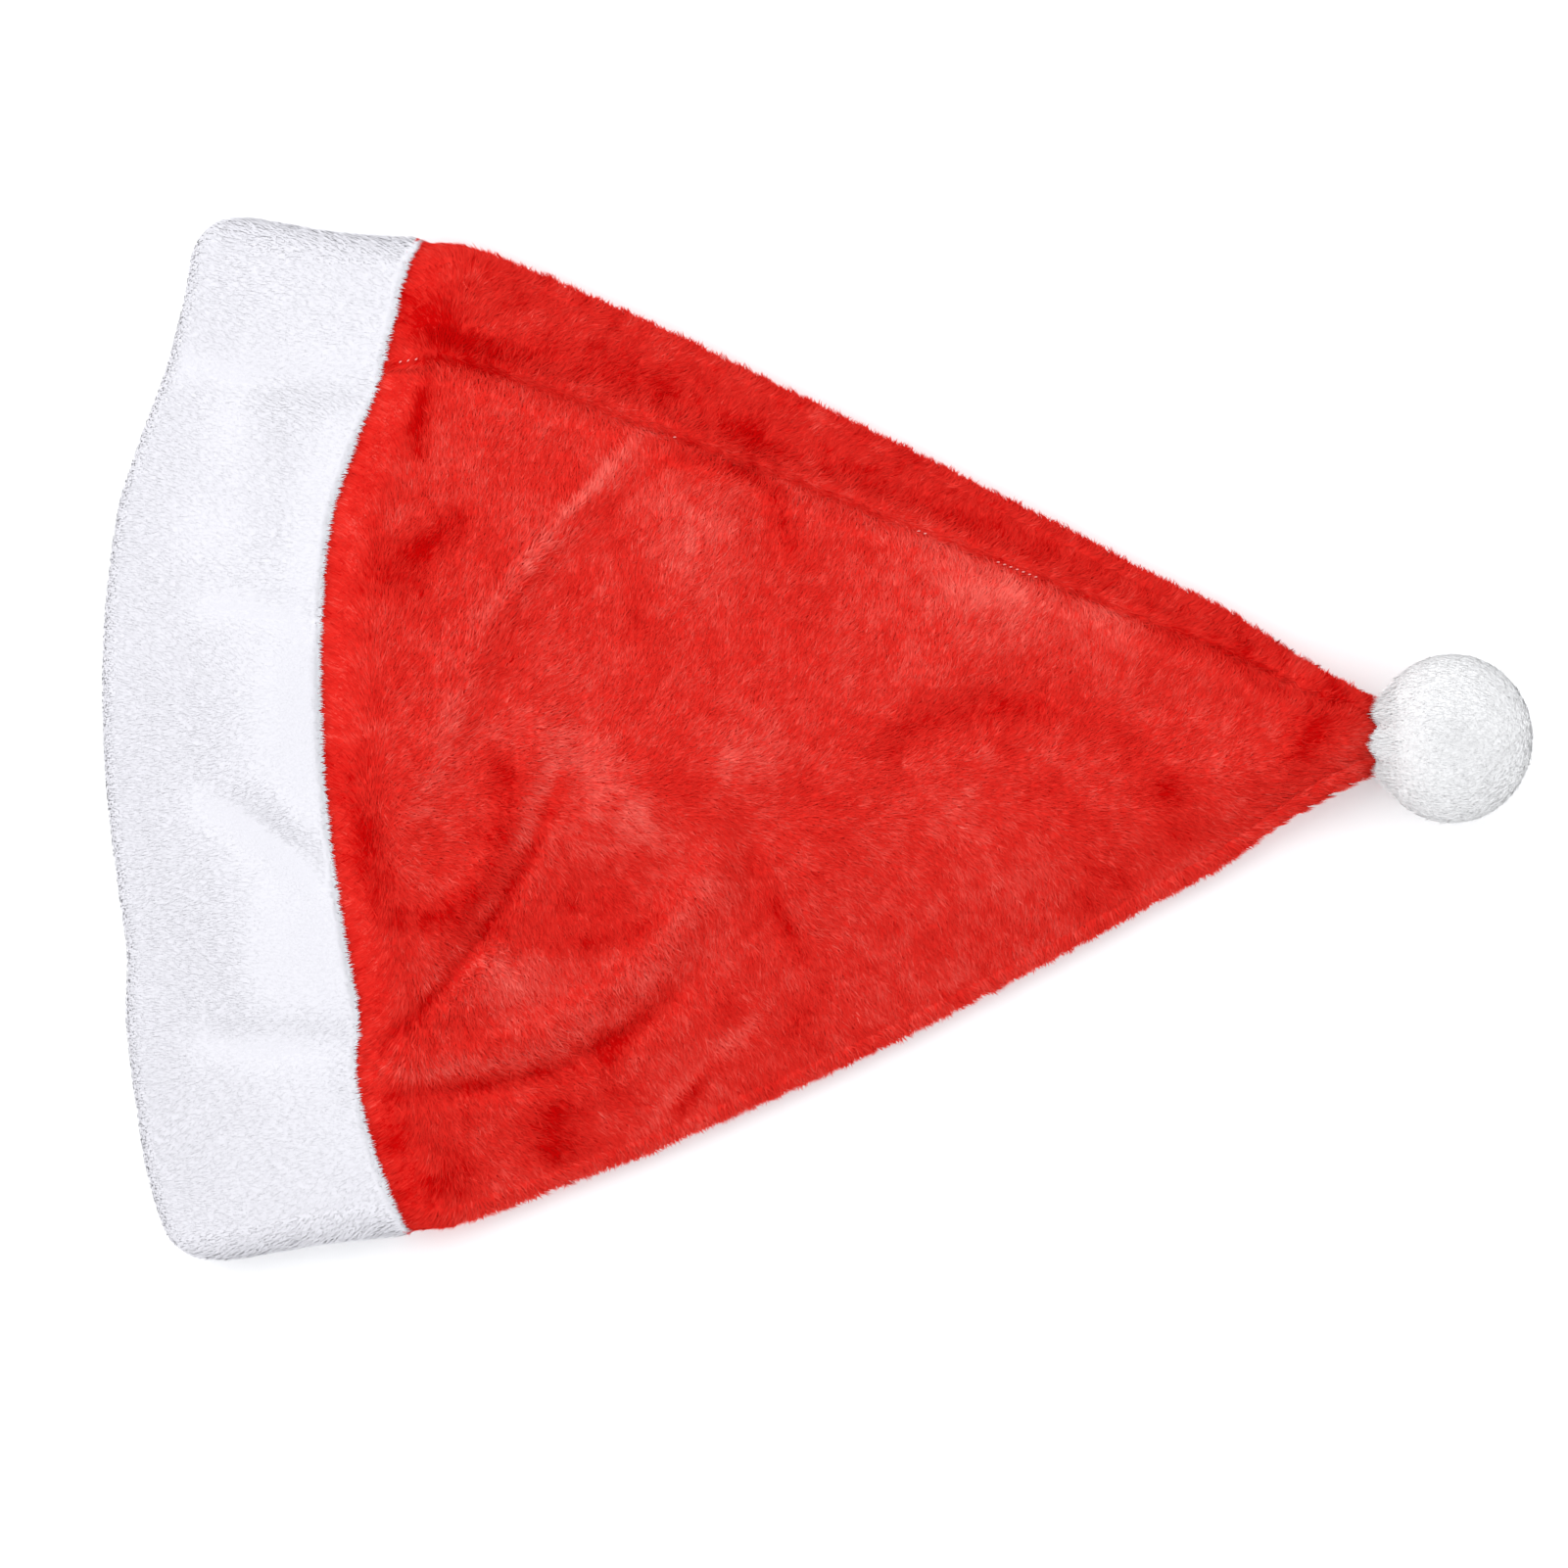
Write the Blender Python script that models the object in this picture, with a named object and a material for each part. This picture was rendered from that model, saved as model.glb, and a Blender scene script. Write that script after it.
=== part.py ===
"""Santa hat lying flat: a red plush crown, a white folded cuff and a white pompom.

The hat lies on z = 0 with +X towards the pompom and +Z up. Lengths are metres.
Sections are rings about the point where the two sides of the cone would meet.
"""
import math

import bmesh
import bpy
import numpy as np

MM = 0.001

# Main sizes
APEX_X = 205.88 * MM
APEX_Y = 0.91 * MM
CLOTH = 3.0 * MM
PLY = 3.2 * MM
GAP = 0.3 * MM
JOIN = 346.0 * MM
RIM = 406.0 * MM
TUCK = 11.0 * MM
TIP_RINGS = (44.5 * MM, 50.0 * MM, 56.0 * MM, 62.0 * MM, 70.0 * MM)
NECK_RINGS = (80.0 * MM, 92.0 * MM, 105.0 * MM)
FLAT_FROM = 118.0 * MM
FLAT_TO = 340.0 * MM
LINING_TIP = 60.0 * MM
DOME = 2.4
HELD_FROM = 331.0
HELD_AT = 344.0
STRAY_FROM = 200.0
STRAY_LENGTH = 146.0

# Rings that close the tip: slide along X and share of the first ring's size
TIP_END = ((1.8 * MM, 0.45), (1.1 * MM, 0.82))
SOCKET_END = ((1.8 * MM, 0.48), (1.1 * MM, 0.84))
LINING_END = (1.2 * MM, 0.6)
TIP_POLE = 1.9 * MM
LINING_POLE = 1.5 * MM

# Cuff rows between its slot and its fold, and the rounding of its raw edges
OUTER_ROWS = (368.0 * MM, 379.0 * MM, 390.0 * MM)
HIDDEN_ROW = 376.0 * MM
EDGE_STEPS = (0.6, 0.2)
EDGE_INSETS = (0.55, 0.12)

# Pompom
POM_CENTRE = (177.3 * MM, -0.1 * MM, 22.7 * MM)
POM_RADIUS = (22.4 * MM, 23.8 * MM, 22.9 * MM)
POM_TUFTS = 104
POM_POINTS = 1120
POM_GROOVE = 2.6 * MM
POM_POINT_RISE = 0.9 * MM
POM_SUNK = 0.6 * MM

# Crown sections: ring distance, half angle in degrees, underside, top of the side fold,
# crest, shift across the hat
RINGS = (
    (44.5, 11.6, 14.2, 25.2, 27.2, 0.0),
    (52.0, 12.7, 13.2, 25.0, 27.6, 0.0),
    (60.0, 14.6, 10.6, 22.8, 27.4, 0.0),
    (70.0, 16.9, 6.8, 19.0, 26.4, 0.1),
    (85.0, 20.0, 2.6, 13.6, 24.4, 0.2),
    (101.0, 22.1, 0.4, 11.2, 22.6, -0.3),
    (117.0, 22.7, 0.0, 10.6, 21.8, -0.8),
    (148.0, 23.9, 0.0, 10.6, 22.2, -1.2),
    (179.0, 24.5, 0.0, 10.6, 23.4, -1.5),
    (210.0, 24.8, 0.0, 10.7, 24.6, -1.5),
    (241.0, 24.9, 0.0, 10.8, 25.6, -1.2),
    (271.0, 24.9, 0.0, 11.0, 26.5, -0.5),
    (300.0, 24.7, 0.0, 11.6, 27.5, 0.3),
    (324.0, 24.5, 0.0, 12.8, 28.4, 0.7),
    (336.0, 24.4, 0.0, 14.6, 29.4, 0.6),
)

# Cuff sections, outside of its outer ply: the same columns
CUFF_RINGS = (
    (334.0, 24.2, 0.0, 21.6, 31.6, 0.6),
    (346.0, 23.75, 0.0, 21.8, 32.0, 0.5),
    (358.0, 23.15, 0.0, 22.0, 32.8, 0.2),
    (371.0, 22.6, 0.0, 22.2, 33.0, 0.0),
    (384.0, 22.2, 0.0, 22.2, 32.4, 0.0),
    (398.0, 21.8, 0.0, 21.8, 31.2, 0.0),
    (406.0, 21.5, 0.0, 21.6, 30.4, 0.0),
)

# Edges of the cuff: place across the hat, then how far join and rim stray from their rings
EDGES = (
    (-1.000, 5.0, -1.5),
    (-0.975, 5.0, 4.6),
    (-0.910, 4.9, 7.4),
    (-0.820, 4.6, 6.8),
    (-0.680, 2.8, 4.0),
    (-0.530, -3.0, 1.2),
    (-0.380, -3.2, -2.8),
    (0.000, -1.7, -0.8),
    (0.250, 0.2, 0.3),
    (0.400, 1.1, 0.3),
    (0.540, -0.6, -2.0),
    (0.700, -2.5, -4.4),
    (0.830, -1.0, -3.3),
    (0.910, 0.8, -1.2),
    (0.975, 1.0, -2.6),
    (1.000, 1.0, -6.5),
)

# Folds: start x y, bend x y, end x y, half width, height
FOLDS = (
    (-49.7, 82.5, -89.7, 48.8, -103.0, 4.0, 6.5, 4.0),
    (-103.0, 4.0, -108.0, -8.0, -114.5, -21.0, 7.0, 1.8),
    (-74.5, -9.9, -84.0, -52.0, -122.8, -89.9, 5.0, -4.8),
    (-73.0, 4.0, -78.0, -30.0, -104.0, -56.0, 7.0, 3.6),
    (-26.2, -32.0, -52.0, -90.0, -122.8, -94.0, 7.0, 4.4),
    (-37.2, -67.9, -66.0, -99.0, -111.7, -98.2, 6.5, -4.0),
    (-17.9, 75.6, -17.0, 64.0, -12.4, 50.8, 6.5, -2.8),
    (23.4, -4.4, 38.0, 8.0, 62.0, 9.4, 7.0, -3.2),
    (-20.7, -29.2, -16.0, -44.0, -9.7, -56.8, 7.0, -3.0),
    (74.0, 4.0, 100.0, 2.0, 136.0, 3.0, 8.0, -2.6),
    (-176.6, 103.7, -150.0, 97.0, -124.0, 99.0, 6.5, -2.4),
    (-166.9, -18.2, -153.0, -24.0, -139.3, -37.5, 6.0, -2.0),
    (-166.0, 36.0, -152.0, 36.0, -139.3, 31.4, 6.0, -1.6),
    (-167.0, -84.0, -148.0, -86.0, -131.0, -84.0, 6.5, -1.8),
)

# Mounds and hollows: x, y, half length, half width, turn in degrees, height
MOUNDS = (
    (-53.8, -21.0, 22.0, 15.0, 60.0, 3.0),
    (-22.0, -6.0, 24.0, 16.0, 20.0, 2.8),
    (-31.7, 53.5, 34.0, 22.0, 60.0, 2.8),
    (45.5, 36.0, 34.0, 20.0, -20.0, 2.4),
    (-86.9, -70.6, 20.0, 12.0, 35.0, 3.2),
    (67.6, -32.0, 30.0, 16.0, 25.0, 2.2),
    (4.1, -36.0, 22.0, 13.0, 60.0, 2.4),
    (-110.3, 50.8, 18.0, 12.0, 70.0, -3.4),
    (-64.8, -46.0, 16.0, 10.0, 50.0, -2.4),
    (-156.0, 86.6, 16.0, 11.0, 80.0, -1.2),
    (-161.4, 56.3, 14.0, 11.0, 0.0, -1.2),
    (-158.0, -62.0, 22.0, 14.0, 80.0, 1.2),
    (-156.0, 10.0, 22.0, 16.0, 90.0, 1.2),
)

# Seam along the upper face
SEAM_ACROSS = 0.80
SEAM_HALF_WIDTH = 2.6 * MM
SEAM_DEPTH = 1.7 * MM
SEAM_LIP = 0.7 * MM
SEAM_COLUMN = 0.034
SEAM_CLEAR = 0.05
SEAM_STARTS = 52.0
SEAM_GROWS = 20.0

# Mesh counts
TOP_COLUMNS = 34
FOLD_COLUMNS = 6
UNDER_COLUMNS = 12
CROWN_ROWS = 18
LINING_ROWS = 10
SLOT_ROWS = 4


def clear_scene():
    for item in list(bpy.data.objects):
        bpy.data.objects.remove(item, do_unlink=True)


def smooth_lookup(table, column, at):
    """Monotone cubic through one column of a table, in millimetres or degrees."""
    data = np.array(table, dtype=float)
    x = data[:, 0]
    y = data[:, column]
    step = np.diff(x)
    rise = np.diff(y) / step
    slope = np.zeros_like(x)
    slope[0] = rise[0]
    slope[-1] = rise[-1]
    same = rise[:-1] * rise[1:] > 0
    left = 2 * step[1:] + step[:-1]
    right = step[1:] + 2 * step[:-1]
    safe = np.where(same, rise[:-1] * rise[1:], 1.0)
    mean = (left + right) * safe / (left * rise[1:] + right * rise[:-1] + (~same))
    slope[1:-1] = np.where(same, mean, 0.0)
    at = np.clip(np.asarray(at, dtype=float), x[0], x[-1])
    i = np.clip(np.searchsorted(x, at) - 1, 0, len(x) - 2)
    t = (at - x[i]) / step[i]
    return (
        (1 + 2 * t) * (1 - t) ** 2 * y[i]
        + t * (1 - t) ** 2 * step[i] * slope[i]
        + t * t * (3 - 2 * t) * y[i + 1]
        + t * t * (t - 1) * step[i] * slope[i + 1]
    )


def ease(value):
    """Smooth step from 0 to 1."""
    value = np.clip(value, 0.0, 1.0)
    return value * value * (3 - 2 * value)


def columns():
    """Places around a section: across (-1 to 1), sideways and upward parts of the fold."""
    share = np.linspace(1.0, -1.0, TOP_COLUMNS + 1)
    share = share[np.abs(share - SEAM_ACROSS) > SEAM_CLEAR]
    seam = SEAM_ACROSS + np.array([-SEAM_COLUMN, 0.0, SEAM_COLUMN])
    top = np.sort(np.concatenate([share, seam]))[::-1]
    turn = np.linspace(90.0, -90.0, FOLD_COLUMNS + 1)[1:-1] * math.pi / 180
    under = np.sin(np.linspace(-0.5, 0.5, UNDER_COLUMNS + 1) * math.pi)
    ones = np.ones_like(turn)
    across = np.concatenate([top, -ones, under, ones])
    out = np.concatenate([0 * top, -np.cos(turn), 0 * under, np.cos(turn)])
    up = np.concatenate([0 * top + 1, np.sin(turn), 0 * under - 1, -np.sin(turn)])
    return across, out, up


def fold_height(x, y):
    """Height that folds, mounds and hollows add to the upper face at plan x, y."""
    px = x / MM
    py = y / MM
    total = np.zeros_like(px)
    for x0, y0, x1, y1, x2, y2, half, height in FOLDS:
        t = np.linspace(0.0, 1.0, 41)
        path_x = (1 - t) ** 2 * x0 + 2 * t * (1 - t) * x1 + t * t * x2
        path_y = (1 - t) ** 2 * y0 + 2 * t * (1 - t) * y1 + t * t * y2
        away = (px[..., None] - path_x) ** 2 + (py[..., None] - path_y) ** 2
        fade = 0.35 + 0.65 * np.sin(math.pi * t) ** 0.6
        shape = fade * np.exp(-away / (half * half))
        total += height * shape.max(axis=-1)
    for mx, my, long, wide, turn, height in MOUNDS:
        c = math.cos(math.radians(turn))
        s = math.sin(math.radians(turn))
        u = ((px - mx) * c + (py - my) * s) / long
        v = ((py - my) * c - (px - mx) * s) / wide
        total += height * np.exp(-(u * u + v * v))
    return total * MM


def held_in(ring, cuffed):
    """How far the crown is drawn in where the cuff's outer ply goes round it."""
    share = ease((ring / MM - HELD_FROM) / (HELD_AT - HELD_FROM))
    return np.zeros_like(ring) if cuffed else share * (PLY + GAP)


def section(ring, inset, cuffed):
    """Straight half length, fold centre, fold radius, dome height and shift of each ring."""
    plain = [smooth_lookup(RINGS, k, ring / MM) for k in (1, 2, 3, 4, 5)]
    band = [smooth_lookup(CUFF_RINGS, k, ring / MM) for k in (1, 2, 3, 4, 5)]
    share = np.ones_like(ring)
    if not cuffed:
        share = ease((ring / MM - HELD_FROM) / (HELD_AT - HELD_FROM))
    held = held_in(ring, cuffed)
    half, low, fold, crest, shift = [(1 - share) * a + share * b for a, b in zip(plain, band)]
    half = np.radians(half) * ring
    low = low * MM
    fold = fold * MM
    crest = crest * MM
    radius = (fold - low) / 2
    return half - radius, (fold + low) / 2, radius - held - inset, crest - fold, shift * MM


def surface(ring, inset, cuffed=False, seam=False):
    """Points of a sheet: one row for each ring distance and inset, columns as in columns()."""
    across, out, up = columns()
    ring = np.asarray(ring, dtype=float)[:, None]
    inset = np.asarray(inset, dtype=float)[:, None]
    reach, middle, radius, dome, shift = section(ring, inset, cuffed)
    along = across * reach + out * radius
    z = middle + up * radius + np.clip(up, 0, 1) * dome * (1 - np.abs(across) ** DOME)
    outward = radius + inset + held_in(ring, cuffed)
    place = (across * reach + out * outward) / (reach + outward)
    join = smooth_lookup(EDGES, 1, place) * MM
    rim = smooth_lookup(EDGES, 2, place) * MM
    blend = np.clip((ring - JOIN) / (RIM - JOIN), 0, 1)
    stray = ease((ring / MM - STRAY_FROM) / STRAY_LENGTH)
    far = ring + join * stray * (1 - blend) + rim * blend
    angle = along / ring
    x = APEX_X - far * np.cos(angle)
    y = APEX_Y + shift + far * np.sin(angle)
    face = np.clip(up, 0, 1)
    z = z + fold_height(x, y) * face
    if seam:
        off = (across - SEAM_ACROSS) * reach / SEAM_HALF_WIDTH
        groove = SEAM_DEPTH * np.exp(-off * off)
        lips = SEAM_LIP * np.exp(-((np.abs(off) - 2.2) ** 2))
        grown = ease((ring / MM - SEAM_STARTS) / SEAM_GROWS)
        held = ease((ring / MM - HELD_FROM) / (HELD_AT - HELD_FROM))
        z = z + (lips - groove) * face * grown * (1 - held)
    return np.stack([x, y, z], axis=-1)


def shrink(points, slide, factor):
    """Draw a ring of points in towards its own middle and slide it along X."""
    middle = points.mean(axis=0)
    moved = middle + (points - middle) * factor
    moved[:, 0] += slide
    return moved


def closed_tip(points, ends):
    """Two smaller rings ahead of the first ring, then the pole that closes them."""
    rings = [shrink(points, slide, factor) for slide, factor in ends]
    return np.array(rings), shrink(points, TIP_POLE, 0.0)[:1]


def grid_faces(rows, count, start, flip):
    """Quads between neighbouring rings."""
    faces = []
    for row in range(rows - 1):
        for k in range(count):
            a = start + row * count + k
            b = start + row * count + (k + 1) % count
            quad = (a, b, b + count, a + count)
            faces.append(quad[::-1] if flip else quad)
    return faces


def make_object(name, points, faces, material):
    mesh = bpy.data.meshes.new(name)
    mesh.from_pydata([tuple(p) for p in points], [], faces)
    work = bmesh.new()
    work.from_mesh(mesh)
    bmesh.ops.recalc_face_normals(work, faces=work.faces)
    bmesh.ops.triangulate(work, faces=work.faces)
    work.to_mesh(mesh)
    work.free()
    mesh.shade_smooth()
    mesh.materials.append(material)
    thing = bpy.data.objects.new(name, mesh)
    bpy.context.scene.collection.objects.link(thing)
    return thing


def plush(name, colour, roughness):
    material = bpy.data.materials.new(name)
    material.use_nodes = True
    shader = material.node_tree.nodes["Principled BSDF"]
    shader.inputs["Base Color"].default_value = (*colour, 1.0)
    shader.inputs["Roughness"].default_value = roughness
    shader.inputs["Metallic"].default_value = 0.0
    return material


def slot_rows():
    """Ring distances shared by the crown's tucked edge and the plies around it."""
    return np.linspace(JOIN, JOIN + TUCK, SLOT_ROWS)


def make_crown(material):
    """Flattened cone of cloth, open at the cuff, closed at the tip."""
    count = len(columns()[0])
    flat = np.linspace(FLAT_FROM, FLAT_TO, CROWN_ROWS)
    outer_ring = np.concatenate([TIP_RINGS, NECK_RINGS, flat, slot_rows()])
    outer = surface(outer_ring, np.zeros_like(outer_ring), seam=True)
    ends, pole = closed_tip(outer[0], TIP_END)
    shell = np.concatenate([ends, outer])
    lining = np.linspace(FLAT_TO, LINING_TIP, LINING_ROWS)
    inner_ring = np.concatenate([slot_rows()[::-1], lining])
    inner = surface(inner_ring, np.full_like(inner_ring, CLOTH))
    last = shrink(inner[-1], *LINING_END)
    inner_pole = shrink(inner[-1], LINING_POLE, 0.0)[:1]
    rows = np.concatenate([shell, inner, last[None]])
    points = np.concatenate([rows.reshape(-1, 3), pole, inner_pole])
    faces = grid_faces(len(rows), count, 0, False)
    first = len(points) - 2
    tail = (len(rows) - 1) * count
    for k in range(count):
        nxt = (k + 1) % count
        faces.append((first, nxt, k))
        faces.append((first + 1, tail + k, tail + nxt))
    return make_object("crown", points, faces, material)


def cuff_profile():
    """Ring distance and inset round the folded band, from the crown side of its outer ply."""
    slot = slot_rows()
    full = 2 * PLY + CLOTH + 2 * GAP
    bend = full / 2
    turn = np.radians(np.linspace(0.0, 180.0, 8))
    fold_ring = RIM - bend + bend * np.sin(turn)
    fold_inset = bend - bend * np.cos(turn)
    inner_bend = bend - PLY
    inner_turn = np.radians(np.linspace(180.0, 0.0, 5))
    inner_fold_ring = RIM - bend + inner_bend * np.sin(inner_turn)
    inner_fold_inset = bend - inner_bend * np.cos(inner_turn)
    down = np.concatenate([slot[1:], OUTER_ROWS])
    within = np.concatenate([slot[1:], [HIDDEN_ROW]])
    edge_ring = JOIN - np.array(EDGE_STEPS) * PLY / 2
    edge_inset = np.array(EDGE_INSETS) * PLY / 2
    ring = np.concatenate([
        edge_ring, down, fold_ring, down[::-1], edge_ring[::-1], slot[:1], within,
        inner_fold_ring, within[::-1], slot[:1],
    ])
    inset = np.concatenate([
        edge_inset, 0 * down, fold_inset, 0 * down + full, full - edge_inset[::-1],
        [full - PLY], 0 * within + full - PLY, inner_fold_inset, 0 * within + PLY, [PLY],
    ])
    return ring, inset


def make_cuff(material):
    """Band folded double at the rim, open between its plies on the crown side."""
    count = len(columns()[0])
    ring, inset = cuff_profile()
    rows = surface(ring, inset, cuffed=True)
    points = rows.reshape(-1, 3)
    faces = grid_faces(len(rows), count, 0, False)
    tail = (len(rows) - 1) * count
    for k in range(count):
        nxt = (k + 1) % count
        faces.append((tail + k, tail + nxt, nxt, k))
    return make_object("cuff", points, faces, material)


def spread_points(count, spin):
    """Evenly spread directions on a unit sphere."""
    k = np.arange(count) + 0.5
    height = 1 - 2 * k / count
    wide = np.sqrt(1 - height * height)
    turn = k * math.pi * (3 - math.sqrt(5)) + spin
    return np.stack([wide * np.cos(turn), wide * np.sin(turn), height], axis=-1)


def make_pompom(material):
    """Ball of blunt tufts: grooves where the two nearest tuft axes are equally far."""
    random = np.random.default_rng(5)
    axes = spread_points(POM_TUFTS, 0.4) + random.normal(0.0, 0.045, (POM_TUFTS, 3))
    axes /= np.linalg.norm(axes, axis=1, keepdims=True)
    tall = random.uniform(-0.5, 0.35, POM_TUFTS) * MM
    facing = spread_points(POM_POINTS, 0.0)
    away = np.linalg.norm(facing[:, None] - axes[None], axis=-1)
    near = np.argmin(away, axis=1)
    away = np.sort(away, axis=1)
    spacing = math.sqrt(4 * math.pi / POM_TUFTS)
    rim = ease((away[:, 1] - away[:, 0]) / (0.55 * spacing))
    point = POM_POINT_RISE * (1 - 2 * away[:, 0] / spacing)
    rise = POM_GROOVE * (rim - 1) + point * rim + tall[near] - POM_SUNK
    points = facing * (np.array(POM_RADIUS) + rise[:, None]) + np.array(POM_CENTRE)
    work = bmesh.new()
    unit = [work.verts.new(tuple(p)) for p in facing]
    bmesh.ops.convex_hull(work, input=unit)
    work.verts.index_update()
    faces = [tuple(v.index for v in face.verts) for face in work.faces]
    work.free()
    points[:, 2] = np.maximum(points[:, 2], 0.0)
    return make_object("pompom", points, faces, material)


def cut_socket(pompom):
    """Cut the room that the crown's tip needs in the pompom, one gap all round."""
    count = len(columns()[0])
    ring = np.array(TIP_RINGS)
    rows = surface(ring, np.full_like(ring, -GAP))
    rows[0, :, 0] += GAP
    ends, pole = closed_tip(rows[0], SOCKET_END)
    last = rows[-1].mean(axis=0)[None]
    rows = np.concatenate([ends, rows])
    points = np.concatenate([rows.reshape(-1, 3), pole, last])
    faces = grid_faces(len(rows), count, 0, False)
    first = len(points) - 2
    tail = (len(rows) - 1) * count
    for k in range(count):
        nxt = (k + 1) % count
        faces.append((first, nxt, k))
        faces.append((first + 1, tail + k, tail + nxt))
    cutter = make_object("socket_cutter", points, faces, pompom.data.materials[0])
    cutter.hide_render = True
    cutter.display_type = "WIRE"
    cut = pompom.modifiers.new("socket", "BOOLEAN")
    cut.operation = "DIFFERENCE"
    cut.solver = "EXACT"
    cut.object = cutter


def main():
    clear_scene()
    red = plush("red_plush", (0.783, 0.041, 0.036), 0.9)
    white = plush("white_plush", (0.871, 0.871, 0.922), 0.92)
    pile = plush("pompom_pile", (0.863, 0.863, 0.871), 0.92)
    make_crown(red)
    make_cuff(white)
    cut_socket(make_pompom(pile))


main()
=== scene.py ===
"""Santa hat lying flat: plush pile, cloth, seam stitches and stage around the hat's frame."""
import math

import bmesh
import bpy
import numpy as np
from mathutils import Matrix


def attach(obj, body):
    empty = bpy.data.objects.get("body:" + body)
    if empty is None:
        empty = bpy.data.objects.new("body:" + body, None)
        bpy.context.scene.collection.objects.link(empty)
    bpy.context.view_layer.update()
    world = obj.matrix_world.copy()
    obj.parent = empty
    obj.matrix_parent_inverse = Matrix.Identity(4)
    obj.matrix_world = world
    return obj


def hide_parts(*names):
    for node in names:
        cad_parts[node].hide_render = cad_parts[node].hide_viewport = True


bl_info = {
    "name": "Santa Hat",
    "version": (1, 0, 0),
    "blender": (4, 5, 0),
    "location": "View3D > Sidebar > Santa Hat",
    "description": "Plush crown, folded cuff, pompom and stage of a santa hat lying flat",
    "category": "Object",
}

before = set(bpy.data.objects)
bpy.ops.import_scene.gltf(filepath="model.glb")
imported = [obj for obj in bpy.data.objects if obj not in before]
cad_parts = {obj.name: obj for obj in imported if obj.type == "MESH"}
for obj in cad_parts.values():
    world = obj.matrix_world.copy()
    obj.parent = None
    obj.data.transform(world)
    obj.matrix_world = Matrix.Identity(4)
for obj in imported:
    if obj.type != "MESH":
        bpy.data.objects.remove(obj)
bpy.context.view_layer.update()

MM = 0.001

# Plan place of the point where the two sides of the cone would meet, the centre of all rings
APEX_X = 205.88 * MM
APEX_Y = 0.91 * MM

# Thickness of the crown's cloth and of one ply of the cuff, and the room between solids
CLOTH = 3.0 * MM
PLY = 3.2 * MM
GAP = 0.3 * MM

# Ring distances of the cuff's edge on the crown, the rim and the closed tip, and how far the
# crown goes into the cuff
JOIN = 346.0 * MM
RIM = 406.0 * MM
TIP = 44.5 * MM
TUCK = 11.0 * MM

# Power that rounds the upper face across the hat
DOME = 2.4

# Ring distances in millimetres over which the crown is drawn in to go under the cuff, the share
# of that by which its nap is let out again, and how far short of the cuff that ends
HELD_FROM = 331.0
HELD_AT = 344.0
LET_OUT = 0.92
LET_OUT_SHORT = 0.45 * MM

# The seam: place across the upper face, groove's half width and depth in millimetres, its lips'
# distance in half widths and height, and the ring distances over which it starts
SEAM_ACROSS = 0.80
SEAM_WIDE = 2.6
SEAM_DEEP = 1.7
LIP_AWAY = 2.2
LIP_HIGH = 0.7
SEAM_FROM = 52.0
SEAM_FULL = 72.0

# Ring distance in millimetres from which rings bend towards the line of the cuff's edge
BEND_FROM = 200.0

# Places in a drawn line, the share of its strength left at its ends, and how many half widths
# away from it still count
LINE_STEPS = 41
LINE_END_SHARE = 0.35
LINE_REACH = 3

# Grid columns on the crown and cuff: over the upper face, in a side fold and on the underside,
# then those close to the seam on each side, their step, and the space cleared for them
FACE_COLUMNS = 110
CROWN_FOLD_COLUMNS = 8
CUFF_FOLD_COLUMNS = 10
UNDER_COLUMNS = 26
SEAM_COLUMNS = 8
SEAM_COLUMN_STEP = 0.0045
SEAM_COLUMN_CLEAR = 0.040

# Step from one share to the next of a golden series
GOLDEN = 0.6180339887

# All fibres: random twist, height of the foot's ridge in widths for white and red ones, the
# lightest white, least height of a fibre above the floor, and half the width that a fibre takes
# up in its map of tones
TWIST = 0.10
WHITE_CREST = 0.06
RED_CREST = 0.15
WHITE_CAP = 0.94
FLOOR_CLEAR = 0.15 * MM
TONE_HALF = 0.0015

# Crown's cloth: rows outside and inside, ring distances of the lining's ends, depth of the skin
# inside the cuff, how far the lining stands inside the solid, and how far the tip bulges
OUTER_ROWS = 100
LINING_ROWS = 56
LINING_FROM = 341.0 * MM
LINING_END = 60.0 * MM
SKIN_IN_CUFF = 0.3 * MM
LINING_CLEAR = 0.4 * MM
TIP_BULGE = 1.2 * MM

# Red nap: where it starts and ends, the band beside the cuff that gets more fibres and their
# share, the share that lies along the seam and how far it strays, and the share of stray fibres
NAP_AFTER_TIP = 2.5 * MM
NAP_BEFORE_CUFF = 0.4 * MM
THICK_BAND = 9.0 * MM
THICK_SHARE = 0.07
SEWN_SHARE = 0.05
SEWN_STRAY = 0.7 * MM
STRAY_SHARE = 0.03

# Red nap: sizes of a clump and of a tuft, least length beside the cuff, place of the tip's tufts
# across the hat and their half width, in millimetres
CLUMP = 3.2 * MM
TUFT = 4.2 * MM
LEAST_LENGTH = 1.2 * MM
TONGUES = (3.3, -6.2)
TONGUE_WIDE = 2.0

# Red nap: ring distances in millimetres over which it turns towards the cuff and towards the
# tip, half the width of the shade along the seam, and half a ring's upper face as a share of
# its distance
CUFF_TURN_FROM = 322.0
CUFF_TURN_AT = 344.0
TIP_TURN_FROM = 60.0
TIP_TURN_AT = 50.0
SEAM_SHADE = 1.1 * MM
FACE_SHARE = 0.42

# Red nap: plan headings in degrees on the lower part, the upper part, above the seam and at the
# outline of the upper side, then its swirls: size, seed and degrees
LOWER_HEADING = -58.0
UPPER_HEADING = 62.0
ABOVE_SEAM_HEADING = 22.0
OUTLINE_HEADING = 112.0
SWIRLS = ((26.0, 7, 26.0), (9.0, 8, 18.0))

# Clouds in the red nap's tone: size, seed and amount
NAP_CLOUDS = (
    (34.0, 1, 0.02), (15.0, 2, 0.05), (6.5, 3, 0.07), (3.0, 4, 0.06), (1.5, 5, 0.07),
)

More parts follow.
